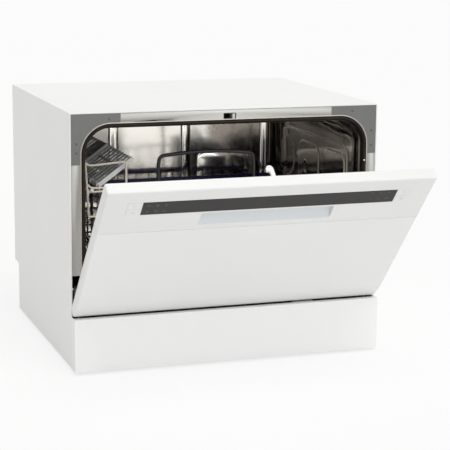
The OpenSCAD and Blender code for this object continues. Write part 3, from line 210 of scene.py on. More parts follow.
# Key, name, darker and lighter tone, roughness, grain, bump, its depth in mm; then the patch scale, the metal
# share and the spread of the roughness, where they differ from surface's own
FINISHES = (
    ("cabinet", "cabinet_enamel", (0.9, 0.9, 0.885), (0.93, 0.93, 0.915), 0.38, 1500, 0.25, 0.06, 5),
    ("door", "door_enamel", (0.86, 0.86, 0.855), (0.89, 0.89, 0.885), 0.34, 1500, 0.25, 0.06, 5),
    ("console", "console_moulding", (0.83, 0.83, 0.815), (0.86, 0.86, 0.845), 0.3, 2600, 0.2, 0.04, 6),
    ("button", "button_moulding", (0.84, 0.84, 0.825), (0.87, 0.87, 0.855), 0.27, 2600, 0.15, 0.04),
    ("strip", "strip_panel", (0.015, 0.012, 0.0115), (0.019, 0.016, 0.015), 0.35, 2400, 0.15, 0.03),
    # kick: the cabinet enamel in a lighter tone, painted light that brightens the kick panel
    ("kick", "kick_enamel", (0.94, 0.94, 0.93), (0.96, 0.96, 0.95), 0.38, 1500, 0.25, 0.06, 5),
    # pocket: the console moulding in a darker, bluish tone, painted shade inside the handle pocket
    ("pocket", "pocket_moulding", (0.72, 0.745, 0.765), (0.75, 0.775, 0.795), 0.32, 2600, 0.2, 0.04, 6),
    # edge: the tub steel in a light, half-metal tone for the lips of the pressed fields, a painted highlight
    ("edge", "pressed_edge", (0.8, 0.72, 0.62), (0.92, 0.85, 0.75), 0.34, 400, 0.05, 0.02, 12, 0.3),
    ("icon", "icon_print", (0.13, 0.13, 0.13), (0.17, 0.17, 0.17), 0.5, 3000, 0.1, 0.02),
    ("mark", "button_print", (0.5, 0.51, 0.51), (0.6, 0.6, 0.6), 0.5, 3000, 0.1, 0.02),
    ("frame", "frame_steel", (0.6, 0.59, 0.56), (0.64, 0.63, 0.6), 0.58, 60, 0.1, 0.03, 3, 0.6, 0.06),
    ("bead", "bead_steel", (0.44, 0.41, 0.37), (0.54, 0.51, 0.46), 0.32, 200, 0.08, 0.03, 8, 1, 0.08),
    # back: the tub steel in a bright, warm tone, a painted reflection of the bright studio on the rear wall and
    # its rounding
    ("back", "back_wall_steel", (0.965, 0.93, 0.87), (0.995, 0.975, 0.935), 0.11, 400, 0.05, 0.02, 5, 1, 0.04),
    # wall: the same tub steel in a dark tone, painted shade and a painted dark reflection on the side walls,
    # the ceiling and the channel
    ("wall", "side_wall_steel", (0.15, 0.125, 0.11), (0.22, 0.188, 0.168), 0.12, 400, 0.08, 0.03, 5, 1),
    ("pan", "floor_steel", (0.42, 0.38, 0.33), (0.56, 0.52, 0.46), 0.16, 400, 0.08, 0.03, 5, 1, 0.06),
    ("rivet", "rivet_plastic", (0.09, 0.095, 0.09), (0.12, 0.125, 0.12), 0.4, 1600, 0.3, 0.06),
    ("band", "band_coating", (0.02, 0.012, 0.075), (0.034, 0.022, 0.12), 0.28, 700, 0.25, 0.08, 25),
    ("hook", "hook_moulding", (0.9, 0.9, 0.88), (0.94, 0.94, 0.92), 0.3, 1800, 0.2, 0.05),
    ("liner", "liner_steel", (0.92, 0.905, 0.87), (0.965, 0.95, 0.92), 0.16, 80, 0.12, 0.04, 9, 1, 0.07),
    ("zinc", "zinc_plate", (0.5, 0.51, 0.52), (0.66, 0.67, 0.68), 0.38, 300, 0.2, 0.05, 40, 1, 0.12),
    ("galvanised", "galvanised_sheet", (0.56, 0.57, 0.57), (0.7, 0.71, 0.71), 0.42, 160, 0.15, 0.05, 60, 0.85,
     0.14),
    ("plate", "corner_plastic", (0.152, 0.155, 0.145), (0.186, 0.189, 0.178), 0.42, 1600, 0.35, 0.08, 12),
    ("gasket", "gasket_rubber", (0.012, 0.008, 0.006), (0.022, 0.015, 0.011), 0.55, 700, 0.4, 0.12, 20, 0,
     0.12),
    ("rubber", "foot_rubber", (0.016, 0.016, 0.016), (0.035, 0.035, 0.034), 0.72, 900, 0.5, 0.15, 9, 0, 0.12),
    ("tray", "tray_plastic", (0.025, 0.025, 0.028), (0.042, 0.042, 0.045), 0.55, 1100, 0.4, 0.1, 9, 0, 0.1),
    ("dark", "dark_plastic", (0.036, 0.038, 0.044), (0.06, 0.062, 0.07), 0.48, 1100, 0.35, 0.1, 9, 0, 0.1),
    ("mid", "mid_plastic", (0.17, 0.185, 0.2), (0.23, 0.245, 0.26), 0.42, 1200, 0.3, 0.08, 9, 0, 0.08),
    ("light", "light_plastic", (0.62, 0.62, 0.6), (0.7, 0.7, 0.68), 0.42, 1200, 0.3, 0.08, 9, 0, 0.08),
    ("arm", "arm_plastic", (0.27, 0.29, 0.31), (0.34, 0.36, 0.38), 0.4, 1200, 0.3, 0.08, 9, 0, 0.08),
    ("blue", "cap_plastic", (0.035, 0.11, 0.29), (0.05, 0.15, 0.36), 0.38, 1200, 0.3, 0.08),
    ("board", "board_resin", (0.01, 0.075, 0.035), (0.02, 0.11, 0.05), 0.4, 500, 0.3, 0.1, 120),
    ("felt", "felt_mat", (0.04, 0.034, 0.03), (0.075, 0.065, 0.058), 0.95, 1400, 0.9, 0.6, 30),
    ("rack", "rack_coating", (0.018, 0.013, 0.045), (0.032, 0.024, 0.075), 0.3, 700, 0.25, 0.08, 25),
    ("handle", "handle_coating", (0.03, 0.031, 0.034), (0.05, 0.05, 0.052), 0.32, 900, 0.3, 0.08),
    ("loop", "loop_coating", (0.62, 0.57, 0.48), (0.74, 0.69, 0.6), 0.34, 900, 0.3, 0.08, 25),
    ("shelf", "shelf_plastic", (0.62, 0.63, 0.62), (0.72, 0.73, 0.72), 0.42, 1100, 0.3, 0.08, 20),
)
SPECIAL = {
    "strip": dict(ior=1.45), "gasket": dict(ior=1.33),
    "frame": dict(stretch=(1, 40, 40)), "liner": dict(stretch=(1, 30, 30)),
    "back": dict(wave=0.0012, wave_scale=8), "wall": dict(wave=0.0013, wave_scale=10),
    "pan": dict(wave=0.0015, wave_scale=9),
}
M = {key: surface(*row, **SPECIAL.get(key, {})) for key, *row in FINISHES}


# -------------------- shape helpers

def angles(n, total=360.0, start=0.0):
    """n steps of a turn in degrees, as radians; the last step's end is left out."""
    return [math.radians(start + total * k / n) for k in range(n)]


def quarter(n, first=0):
    return [math.radians(90 * k / n) for k in range(first, n + 1)]


def circle(cx, cy, r, n):
    return [(cx + r * math.cos(a), cy + r * math.sin(a)) for a in angles(n)]


class Shape:
    """Vertices and faces of one piece, gathered in millimetres."""

    def __init__(self):
        self.v, self.f = [], []

    def add(self, verts, faces):
        n = len(self.v)
        self.v += [tuple(p) for p in verts]
        self.f += [tuple(i + n for i in f) for f in faces]

    def rings(self, rings, closed=True, cap_start=False, cap_end=False):
        """Joins rings of as many points each."""
        n, verts, faces = len(rings[0]), [p for r in rings for p in r], []
        for k in range(len(rings) - 1):
            for i in range(n if closed else n - 1):
                j = (i + 1) % n
                faces.append((k * n + i, k * n + j, (k + 1) * n + j, (k + 1) * n + i))
        if cap_start:
            faces.append(tuple(range(n))[::-1])
        if cap_end:
            faces.append(tuple(range((len(rings) - 1) * n, len(rings) * n)))
        self.add(verts, faces)

    def tube(self, path, r, sides=10, closed=False):
        """Round bar along a path."""
        p = [Vector(q) for q in path]
        n = len(p)
        ring_list, up = [], None
        for i in range(n):
            if closed:
                t = (p[(i + 1) % n] - p[i - 1]).normalized()
            else:
                t = (p[min(i + 1, n - 1)] - p[max(i - 1, 0)]).normalized()
            up = t.orthogonal().normalized() if up is None else (up - t * up.dot(t)).normalized()
            side = t.cross(up)
            ring_list.append([p[i] + (up * math.cos(a) + side * math.sin(a)) * r for a in angles(sides)])
        if closed:
            ring_list.append(ring_list[0])
        self.rings(ring_list, cap_start=not closed, cap_end=not closed)

    def box(self, a, b):
        x0, y0, z0 = a
        x1, y1, z1 = b
        self.add([(x0, y0, z0), (x1, y0, z0), (x1, y1, z0), (x0, y1, z0),
                  (x0, y0, z1), (x1, y0, z1), (x1, y1, z1), (x0, y1, z1)],
                 [(0, 3, 2, 1), (4, 5, 6, 7), (0, 1, 5, 4), (1, 2, 6, 5), (2, 3, 7, 6), (3, 0, 4, 7)])

    def lathe(self, profile, centre, axis="z", n=40):
        """Turns a profile of (radius, height) about an axis through centre, upright or along the depth."""
        cx, cy, cz = centre
        if axis == "z":
            ring_list = [[(cx + c, cy + s, cz + h) for c, s in circle(0, 0, r, n)] for r, h in profile]
        else:
            ring_list = [[(cx + s, cy + h, cz + c) for c, s in circle(0, 0, r, n)] for r, h in profile]
        self.rings(ring_list, cap_start=profile[0][0] > 0, cap_end=profile[-1][0] > 0)

    def flat(self, loops, at, flip):
        """Flat plate with holes: loops of points (u, v), the outer one first, at(u, v) its place."""
        tris = tessellate_polygon([[Vector((u, v, 0)) for u, v in loop] for loop in loops])
        self.add([at(u, v) for loop in loops for u, v in loop],
                 [tuple(t)[::-1] if flip else tuple(t) for t in tris])

    def prism(self, outline, at0, at1):
        """Solid between two flat outlines: at0(u, v) and at1(u, v) place the same outline."""
        self.rings([[at0(u, v) for u, v in outline], [at1(u, v) for u, v in outline]],
                   cap_start=True, cap_end=True)


def swing(p):
    """Swings a point of the shut door to the rest pose."""
    x, y, z = p
    dy, dz = y - HINGE_Y, z - HINGE_Z
    c, s = math.cos(REST), math.sin(REST)
    return (x, HINGE_Y + dy * c - dz * s, HINGE_Z + dy * s + dz * c)


def soften(obj, width, segments, limit):
    """Bevels the edges sharper than limit degrees."""
    m = obj.modifiers.new("edges", "BEVEL")
    m.width = width * MM
    m.segments = segments
    m.limit_method = "ANGLE"
    m.angle_limit = math.radians(limit)
    m.use_clamp_overlap = True
    obj.modifiers.new("shading", "WEIGHTED_NORMAL").keep_sharp = True


def piece(name, shape, mat, body, slot=None, node=None, place=None, bevel=0.0, segments=2, smooth=32,
          limit=38, solid=0.0, merge=0.01):
    """Makes the object, in metres, and lets it ride on its body."""
    verts = [place(p) if place else p for p in shape.v]
    mesh = bpy.data.meshes.new(name)
    mesh.from_pydata([tuple(c * MM for c in p) for p in verts], [], shape.f)
    bm = bmesh.new()
    bm.from_mesh(mesh)
    bmesh.ops.remove_doubles(bm, verts=bm.verts, dist=merge * MM)
    bmesh.ops.recalc_face_normals(bm, faces=bm.faces)
    bm.to_mesh(mesh)
    bm.free()
    mesh.polygons.foreach_set("use_smooth", [True] * len(mesh.polygons))
    mesh.set_sharp_from_angle(angle=math.radians(smooth))
    mesh.materials.append(M[mat])
    obj = put_in_scene(bpy.data.objects.new(name, mesh))
    if solid:
        m = obj.modifiers.new("wall", "SOLIDIFY")
        m.thickness = abs(solid) * MM
        m.offset = 1 if solid > 0 else -1
    if bevel:
        soften(obj, bevel, segments, limit)
    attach(obj, body)
    for n in ([node] if isinstance(node, str) else node or []):
        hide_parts(n)


def steel(name, shape, mat, **more):
    piece(name, shape, mat, "cabinet", slot="steel", **more)


def on_door(name, shape, mat, slot, **more):
    """A piece that is drawn with the door shut."""
    piece(name, shape, mat, "door", slot=slot, place=swing, **more)


def dress(node, mat, bevel=0.0):
    """Gives a CAD node its material, and softens its edges."""
    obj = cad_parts[node]
    obj.data.materials.clear()
    obj.data.materials.append(M[mat])
    if bevel:
        obj.modifiers.new("weld", "WELD").merge_threshold = 0.00001
        d = obj.modifiers.new("flats", "DECIMATE")
        d.decimate_type = "DISSOLVE"
        d.angle_limit = math.radians(0.4)
        soften(obj, bevel, 2, 40)


def arcs(corners):
    """Points round corners, each given as its centre, radius, start and turn in degrees, and steps."""
    return [(cx + r * math.cos(a), cy + r * math.sin(a)) for cx, cy, r, start, turn, n in corners
            for a in (math.radians(start + turn * k / n) for k in range(n + 1))]


def rounded_outline(half, low, top, r_top, r_low, n_top=14, n_low=8):
    """Points (x, z) of a rounded rectangle about x = 0, from the lower left corner round by the top."""
    return arcs(((-half + r_low, low + r_low, r_low, 270, -90, n_low),
                 (-half + r_top, top - r_top, r_top, 180, -90, n_top),
                 (half - r_top, top - r_top, r_top, 90, -90, n_top),
                 (half - r_low, low + r_low, r_low, 0, -90, n_low)))


def mouth_outline(g, n_top=14, n_low=8):
    return rounded_outline(MOUTH["half"] + g, MOUTH["low"] - g, MOUTH["top"] + g, MOUTH["r_top"] + g,
                           MOUTH["r_low"] + g, n_top, n_low)


def rect(x0, z0, x1, z1, r=0.0, n=4):
    """Points of a rectangle with rounded corners, counter-clockwise."""
    if r <= 0:
        return [(x0, z0), (x1, z0), (x1, z1), (x0, z1)]
    return arcs(((x1 - r, z0 + r, r, 270, 90, n), (x1 - r, z1 - r, r, 0, 90, n),
                 (x0 + r, z1 - r, r, 90, 90, n), (x0 + r, z0 + r, r, 180, 90, n)))


def fillet(points, r, n=7):
    """Rounds the inner corners of a path, by one radius or by one for each corner."""
    p = [Vector(q) for q in points]
    out = [p[0]]
    for i in range(1, len(p) - 1):
        a, b = (p[i - 1] - p[i]), (p[i + 1] - p[i])
        d = min(r if isinstance(r, (int, float)) else r[i - 1], a.length * 0.49, b.length * 0.49)
        a, b = a.normalized() * d, b.normalized() * d
        out += [p[i] + a * (1 - t) ** 2 + b * t ** 2 for t in (k / n for k in range(n + 1))]
    out.append(p[-1])
    return out


def at_y(y):
    return lambda u, v: (u, y, v)


def at_z(z):
    return lambda u, v: (u, v, z)


def upright(loop, y):
    """The points (x, z) of a loop, at a depth."""
    return [(x, y, z) for x, z in loop]


def raised(shape, loop, place, heights, lip, edge=None):
    """Embossed field: an outline drawn in by lip at its top; edge, if given, takes the lip."""
    cx = sum(p[0] for p in loop) / len(loop)
    cz = sum(p[1] for p in loop) / len(loop)
    half_u = max(abs(p[0] - cx) for p in loop)
    half_v = max(abs(p[1] - cz) for p in loop)
    low, high = heights
    rings = []
    for share, h in ((0, low), (0.3, low + 0.15 * (high - low)), (0.7, low + 0.85 * (high - low)), (1, high)):
        d = lip * share
        rings.append([place(cx + (p[0] - cx) * (1 - d / half_u), cz + (p[1] - cz) * (1 - d / half_v), h)
                      for p in loop])
    if edge:
        edge.rings(rings)
        rings = rings[-1:]
    shape.rings(rings, cap_end=True)


# -------------------- tub and front frame

def wall_inset(y, r):
    """How far the tub's walls stand in at a depth: a bead near the front, and the rear's rounding."""
    inset = 0.0
    if -213 < y < -195:
        inset = 1.6 * math.sin(math.pi * (y + 213) / 18)
    start = TUB_BACK - r
    if y > start:
        inset = r * (1 - math.cos(math.asin(min(1.0, (y - start) / r))))
    return inset


def ring_at(y):
    """Section of the tub's walls at a depth, open below; the left wall is rounded less at the rear."""
    inset = wall_inset(y, REAR_ROUND)
    left = (TUB_HALF - wall_inset(y, REAR_ROUND_LEFT)) / (TUB_HALF - inset)
    r = max(MOUTH["r_top"] - 8 - 0.6 * inset, 6)
    return [(x * left if x < 0 else x, y, z) for x, z in
            rounded_outline(TUB_HALF - inset, LEDGE_Z, TUB_TOP - inset, r, 4, 14, 6)]


def make_front_frame():
    """Flange with the mouth, the hinge notches and the slot of the latch; the mouth's bead and channel."""
    nx, nz, y = 258.3, 165.5, FLANGE_Y + 0.1
    outer = [(-nx, 100), (nx, 100), (nx, nz), (FLANGE_HALF, nz), (FLANGE_HALF, FLANGE_TOP),
             (-FLANGE_HALF, FLANGE_TOP), (-FLANGE_HALF, nz), (-nx, nz)]
    slot = rect(-9.2, 419.9, 14.2, 430.6, 1.6, 3)
    s = Shape()
    s.flat([outer, mouth_outline(0.6), slot], at_y(y), False)
    s.rings([upright(slot, y), upright(slot, FLANGE_Y + 3.5)])
    steel("front_frame", s, "frame", node=["tub", "tub_floor"], solid=0.6, smooth=50)

    bead = Shape()
    bead.tube(upright(mouth_outline(1.4, 20, 10), FLANGE_Y - 0.3), 1.2, closed=True)
    steel("mouth_bead", bead, "bead")

    channel = Shape()
    channel.rings([upright(mouth_outline(g), y) for g, y in
                   ((0.8, FLANGE_Y + 0.2), (0.3, FLANGE_Y + 1.4), (0.3, TUB_FRONT - 2), (-0.6, TUB_FRONT),
                    (-7.4, TUB_FRONT))])
    # The channel takes the dark copy of the tub steel, painted shade
    steel("gasket_channel", channel, "wall", solid=0.5, smooth=40)


def make_tub():
    # Walls and ceiling, and the rear wall with its ribs and fields
    ys = [TUB_FRONT, -216, -213] + [-213 + 18 * k / 10 for k in range(1, 11)] + [-150, -90, -30, 30, 90, 150]
    ys += [TUB_BACK - REAR_ROUND + REAR_ROUND * math.sin(math.radians(a)) for a in range(0, 91, 9)]
    ys += [TUB_BACK - REAR_ROUND_LEFT * (1 - math.sin(math.radians(a))) for a in (0, 20, 40)]
    ys = sorted(set(round(y, 3) for y in ys))
    walls, rear, back = Shape(), Shape(), Shape()
    rows = [ring_at(y) for y in ys]
    turn = sum(1 for y in ys if y <= TUB_BACK - 3.6)
    walls.rings(rows[:turn], closed=False)
    rear.rings(rows[turn - 1:], closed=False)
    # The side walls take the dark copy of the tub steel, painted shade and a painted dark reflection
    steel("tub_walls", walls, "wall", solid=0.5, smooth=60)
    # The rear rounding takes the bright copy of the tub steel, a painted reflection
    steel("tub_rounding", rear, "back", solid=0.5, smooth=60)
    back.flat([[(x, z) for x, _, z in rows[-1]]], at_y(TUB_BACK), True)
    for field, rise in (((-99, 158, -79, 372, 6, 4), 3.0), ((47.5, 158, 67.5, 372, 6, 4), 3.0),
                        ((-196, 170, -112, 300, 14, 5), 1.6), ((82, 170, 196, 300, 14, 5), 1.6)):
        raised(back, rect(*field), lambda u, v, h: (u, TUB_BACK - h, v), (0.2, rise), 3.0)
    # The rear wall takes the bright copy of the tub steel, a painted reflection
    steel("tub_back", back, "back", smooth=60)

    # Pressed fields of the side walls: a ring and rounded fields on one large field
    press, lips = Shape(), Shape()
    for side in (1, -1):
        wall_at = lambda u, v, h, k=side: (k * (TUB_HALF - 0.2 - h), u, v)
        raised(press, rect(-176, 168, 150, 357, 24, 6), wall_at, (0.0, 1.8), 3.4, lips)
        for u0, u1 in ((-49, 53), (-169, -69)):
            raised(press, rect(u0, 190, u1, 341, 20, 6), wall_at, (1.7, 3.8), 3.2, lips)
        if side == 1:
            raised(press, circle(113, 299, 40, 40), wall_at, (1.7, 3.8), 3.0, lips)
            press.rings([[wall_at(u, v, h) for u, v in circle(14, 291, r, 28)]
                         for r, h in ((15, 3.8), (13.5, 4.6), (11.25, 4.0))], cap_end=True)
    # Ceiling fields
    ceiling_at = lambda u, v, h: (u, v, TUB_TOP - 0.2 - h)
    for x0, x1 in ((-190, -20), (20, 190)):
        raised(press, rect(x0, -180, x1, 120, 30, 6), ceiling_at, (0.0, 2.4), 4.0)
    for x, y, r in ((165, -140, 17), (205, -60, 9), (120, -60, 9)):
        raised(press, circle(x, y, r, 28), ceiling_at, (2.2, 4.2), 2.4)
    # The pressed fields take the dark copy of the tub steel, painted shade
    steel("wall_fields", press, "wall", smooth=60)
    # The lips take the light edge finish, a painted highlight along the fields
    steel("field_lips_painted_highlight", lips, "edge", smooth=60)
    # Stud on the seal, drawn in white plastic rather than zinc; its white is a painted highlight
    stud = Shape()
    stud.lathe([(1.7, 0.0), (1.5, -0.7), (0.8, -1.2), (0.0, -1.3)], (251.4, -236.6, 340), axis="y", n=20)
    piece("seal_stud", stud, "hook", "cabinet", slot="zinc", smooth=60)

    # Floor: two ledges, the sunk pan and its holes for the filter, the arm's hub and the salt cap
    floor = Shape()
    ledge_z, drop = LEDGE_Z - 0.2, LEDGE_Z - PAN_Z

    def pan_loop(g):
        return rect(-PAN_HALF + g, -209 + g, PAN_HALF - g, 173 - g, 30 - g * 0.5, 8)
    outline = [row[0][:2] for row in rows] + [row[-1][:2] for row in rows[::-1]]
    floor.flat([outline, pan_loop(-3)], at_z(ledge_z), False)
    floor.rings([[(x, y, ledge_z - dz) for x, y in pan_loop(g)] for g, dz in
                 ((-3, 0), (-1.6, 0.5), (-0.5, 2), (0.3, drop - 3), (1.6, drop - 0.9), (3.5, drop - 0.2))])
    holes = ((86, ARM_Y, 56, 2.4), (0, ARM_Y, 12.3, 0.4), (-140, 50, 26.3, 0.4))
    floor.flat([pan_loop(3.5)] + [circle(x, y, r, 48) for x, y, r, _ in holes], at_z(PAN_Z), False)
    for x, y, r, depth in holes:
        floor.rings([[(u, v, PAN_Z) for u, v in circle(x, y, r, 48)],
                     [(u, v, PAN_Z - depth) for u, v in circle(x, y, r * 0.99, 48)]])
    steel("tub_pan", floor, "pan", solid=0.4, smooth=50)


def make_gasket():
    profile = [(0.3, -223.2), (0.3, -231), (0.8, -235.5), (2.2, -237.4), (4.2, -237.2), (5.6, -235.2),
               (6.2, -232), (7.0, -228.5), (7.1, -226), (6.4, -223.2)]
    low = 149.0
    lines = []
    for inset, y in profile:
        half, top, r = MOUTH["half"] - inset, MOUTH["top"] - inset, MOUTH["r_top"] - inset
        left = [(-half, y, low + (top - r - low) * k / 8) for k in range(8)]
        left += [(-half + r - r * math.cos(a), y, top - r + r * math.sin(a)) for a in quarter(22)]
        across = [(-half + r + (2 * half - 2 * r) * k / 10, y, top) for k in range(1, 10)]
        lines.append(left + across + [(-x, y, z) for x, y, z in left[::-1]])
    s = Shape()
    s.rings(list(zip(*lines)), cap_start=True, cap_end=True)
    piece("mouth_seal", s, "gasket", "cabinet", slot="gasket", node="tub_gasket", smooth=50)


def make_corner_plates():
    """Plates in the upper corners of the frame; their inner corner follows the mouth."""
    s, rivets = Shape(), Shape()
    side_x, top = MOUTH["half"] + 3, MOUTH["top"] + 3
    x1, z1 = FLANGE_HALF, FLANGE_TOP
    x0, z0 = x1 - PLATE, z1 - PLATE
    arc = [(x, z) for x, z in rounded_outline(side_x, 100, top, 53, 20, 18, 2) if x > x0 - 0.5 and z > z0 - 0.5]
    outline = []
    for p in [(x0, z1), (x0, top)] + arc + [(side_x, z0), (x1, z0), (x1, z1)]:
        if not outline or abs(p[0] - outline[-1][0]) + abs(p[1] - outline[-1][1]) > 0.3:
            outline.append(p)
    for side in (-1, 1):
        s.prism([(side * u, v) for u, v in outline], at_y(FRONT_Y), at_y(FLANGE_Y + 0.05))
    piece("frame_corners", s, "plate", "cabinet", slot="corner_grey", node="corner_plates", bevel=0.3, limit=50)
    for x, z in ((-208, 426.5), (-263.5, 387), (-264, 372), (228, 427), (264.5, 392), (264.5, 366)):
        rivets.lathe([(2.3, 0.0), (2.1, -0.35), (1.3, -0.6), (0.0, -0.7)], (x, FRONT_Y + 0.02, z), axis="y",
                     n=20)
    piece("corner_rivets", rivets, "rivet", "cabinet", slot="corner_grey", smooth=60)


# -------------------- door skin and console, drawn shut

# Height above the seam's edge and how far the face is drawn in there
SEAM_ROUND = ((0, 0.5), (0.15, 0.15), (0.6, 0))
POCKET_LOW, POCKET_DEPTH = 348, 13.8


def plan_section(front, inset=0.0, r=EDGE):
    """Half-open section of the door seen from above: back, side, front, side, back."""
    half = SIDE_X - inset
    left = [(-half, DOOR_BACK), (-half, (DOOR_BACK + front + r) / 2)]
    left += [(-half + r - r * math.cos(a), front + r - r * math.sin(a)) for a in quarter(6)]
    return left + [(-x, y) for x, y in left[::-1]]


def make_door_panel():
    rings = []
    levels = [(SEAM_Z - dz, d, d) for dz, d in SEAM_ROUND]
    levels += [(z, back, 0) for z, back in ((280, 0), (200, 0), (140, 0), (134.5, 0.1), (131, 0.4), (118, 1.95),
                                            (106.5, 3.5))]
    for z, back, inset in levels:
        rings.append([(x, y, z) for x, y in plan_section(DOOR_FACE + back, inset)])
    # Rounded lower edge, and the fold under the door
    for a in (22.5, 45, 67.5, 90):
        c, sn = math.cos(math.radians(a)), math.sin(math.radians(a))
        front, d = DOOR_FACE + 3.6 + 3 * (1 - c), 2.4 * (1 - c)
        rings.append([(x, min(y, DOOR_BACK - d), 105 - 3 * sn) for x, y in plan_section(front, d)])
    s = Shape()
    s.rings(rings, closed=False)
    s.rings([rings[-1], [(x * 0.996, max(y, -246), 102.0) for x, y, _ in rings[-1]]], closed=False)
    on_door("door_skin", s, "door", "door_paint", node="door_panel", solid=-1.1, smooth=40)
    # Inner border along the sides
    lips = Shape()
    for x in (-271.2, 271.2):
        lips.box((x - 3, DOOR_BACK - 1.2, 106), (x + 3, DOOR_BACK, 335.8))
    on_door("door_lips", lips, "door", "door_paint", bevel=0.3)


def pocket_depth(z):
    """How deep the handle pocket is at a height."""
    return POCKET_DEPTH * min(max((z - POCKET_LOW) / 27.0, 0), 1) ** 1.15


def make_console():
    s = Shape()
    z0, z1 = SEAM_Z + 0.25, TOP_Z
    r, half = EDGE, SIDE_X
    # Front wall with its openings
    pocket = rect(-112, POCKET_LOW, 112, 378, 3.0, 4)
    strip = rect(-213.2, 381.3, 213.2, 412.7, 0.6, 2)
    buttons = [rect(x - 11.25, z - 7.25, x + 11.25, z + 7.25, 0.8, 3) for x in (-226, 226) for z in (389, 405)]
    s.flat([rect(-half + r, z0 + 0.6, half - r, z1 - r), pocket, strip] + buttons, at_y(DOOR_FACE), False)
    # Sides with rounded edges at the front, the seam and the top
    levels = [(z0 + dz, d) for dz, d in SEAM_ROUND] + [(z1 - r, 0)]
    levels += [(z1 - r + r * math.sin(a), r * (1 - math.cos(a))) for a in quarter(6, 1)]
    for side in (-1, 1):
        rows = []
        for z, d in levels:
            row = [(side * (half - r), DOOR_FACE + d, z)]
            row += [(side * (half - r + (r - d) * math.sin(a)), DOOR_FACE + r - (r - d) * math.cos(a), z)
                    for a in quarter(6, 1)]
            rows.append(row + [(side * (half - d), DOOR_BACK, z)])
        s.rings(rows, closed=False)
    # Rounded front top edge and top, then the seam edge

    def across(y, z):
        return [(-(half - r), y, z), (half - r, y, z)]
    s.rings([across(DOOR_FACE + r * (1 - math.cos(a)), z1 - r + r * math.sin(a)) for a in quarter(6)]
            + [across(DOOR_BACK, z1)], closed=False)
    s.rings([across(DOOR_FACE + d, z0 + dz) for dz, d in SEAM_ROUND], closed=False)
    # Short walls of the strip's seat and of the button holes
    for loop, depth in [(strip, 1.6)] + [(b, 2.5) for b in buttons]:
        s.rings([upright(loop, DOOR_FACE), upright(loop, DOOR_FACE + depth)])
    s.flat([strip], at_y(DOOR_FACE + 1.6), False)
    on_door("console_shell", s, "console", "console_white", node="control_console", smooth=40)

    # Handle pocket: a slope that leaves the face at its lower edge and turns into the roof
    lining = Shape()

    def pocket_ring(k):
        return [(x * (1 - 0.012 * k), DOOR_FACE + pocket_depth(z) * k, z - 1.5 * k * (z > 360))
                for x, z in pocket]
    lining.rings([pocket_ring(k) for k in (0, 0.12, 0.5, 0.88, 1.0)])
    lining.flat([[(x, z) for x, _, z in pocket_ring(1.0)]],
                lambda u, v: (u, DOOR_FACE + pocket_depth(v + (1.5 if v > 358.5 else 0)), v), False)
    # The lining takes the darker copy of the console moulding, painted shade in the pocket
    on_door("pocket_lining", lining, "pocket", "console_white", smooth=40)
    # Inner walls behind, closing the moulding towards the liner
    rim = Shape()
    for x in (-270.25, 270.25):
        rim.box((x - 2.25, DOOR_BACK - 2.5, SEAM_Z + 1), (x + 2.25, DOOR_BACK, z1 - 2.5))
    rim.box((-272.5, DOOR_BACK - 2.5, z1 - 5), (272.5, DOOR_BACK, z1 - 0.6))
    on_door("console_rim", rim, "console", "console_white", bevel=0.4)


def ring_mark(s, y, x, z, r, w=0.55, gap=0.0, n=20):
    """Thin printed ring, open at the top by gap degrees."""
    a0, a1 = math.radians(90 + gap / 2), math.radians(450 - gap / 2)
    inner, outer = ([(x + q * math.cos(a), y, z + q * math.sin(a)) for a in
                     (a0 + (a1 - a0) * k / n for k in range(n + 1))] for q in (r - w, r))
    for k in range(n):
        s.add([inner[k], outer[k], outer[k + 1], inner[k + 1]], [(0, 1, 2, 3)])


def bar_mark(s, y, x0, z0, x1, z1, w=0.55):
    """Thin printed line."""
    d = Vector((x1 - x0, z1 - z0)).normalized() * w / 2
    s.add([(x0 - d.y, y, z0 + d.x), (x0 + d.y, y, z0 - d.x), (x1 + d.y, y, z1 - d.x), (x1 - d.y, y, z1 + d.x)],
          [(0, 1, 2, 3)])


def print_marks(s, y, x, z, marks):
    """Marks about a point: "o" dx, dz, radius, line, gap is a ring, "-" dx0, dz0, dx1, dz1, line a bar."""
    for kind, dx, dz, *rest in marks:
        if kind == "o":
            ring_mark(s, y, x + dx, z + dz, *rest)
        else:
            bar_mark(s, y, x + dx, z + dz, x + rest[0], z + rest[1], *rest[2:])


STAR = [("-", -c, -sn, c, sn, 0.45) for c, sn in
        ((2.2 * math.cos(math.radians(a)), 2.2 * math.sin(math.radians(a))) for a in (0, 60, 120))]
DASH = ("-", -2.0, 0, 2.0, 0, 0.45)
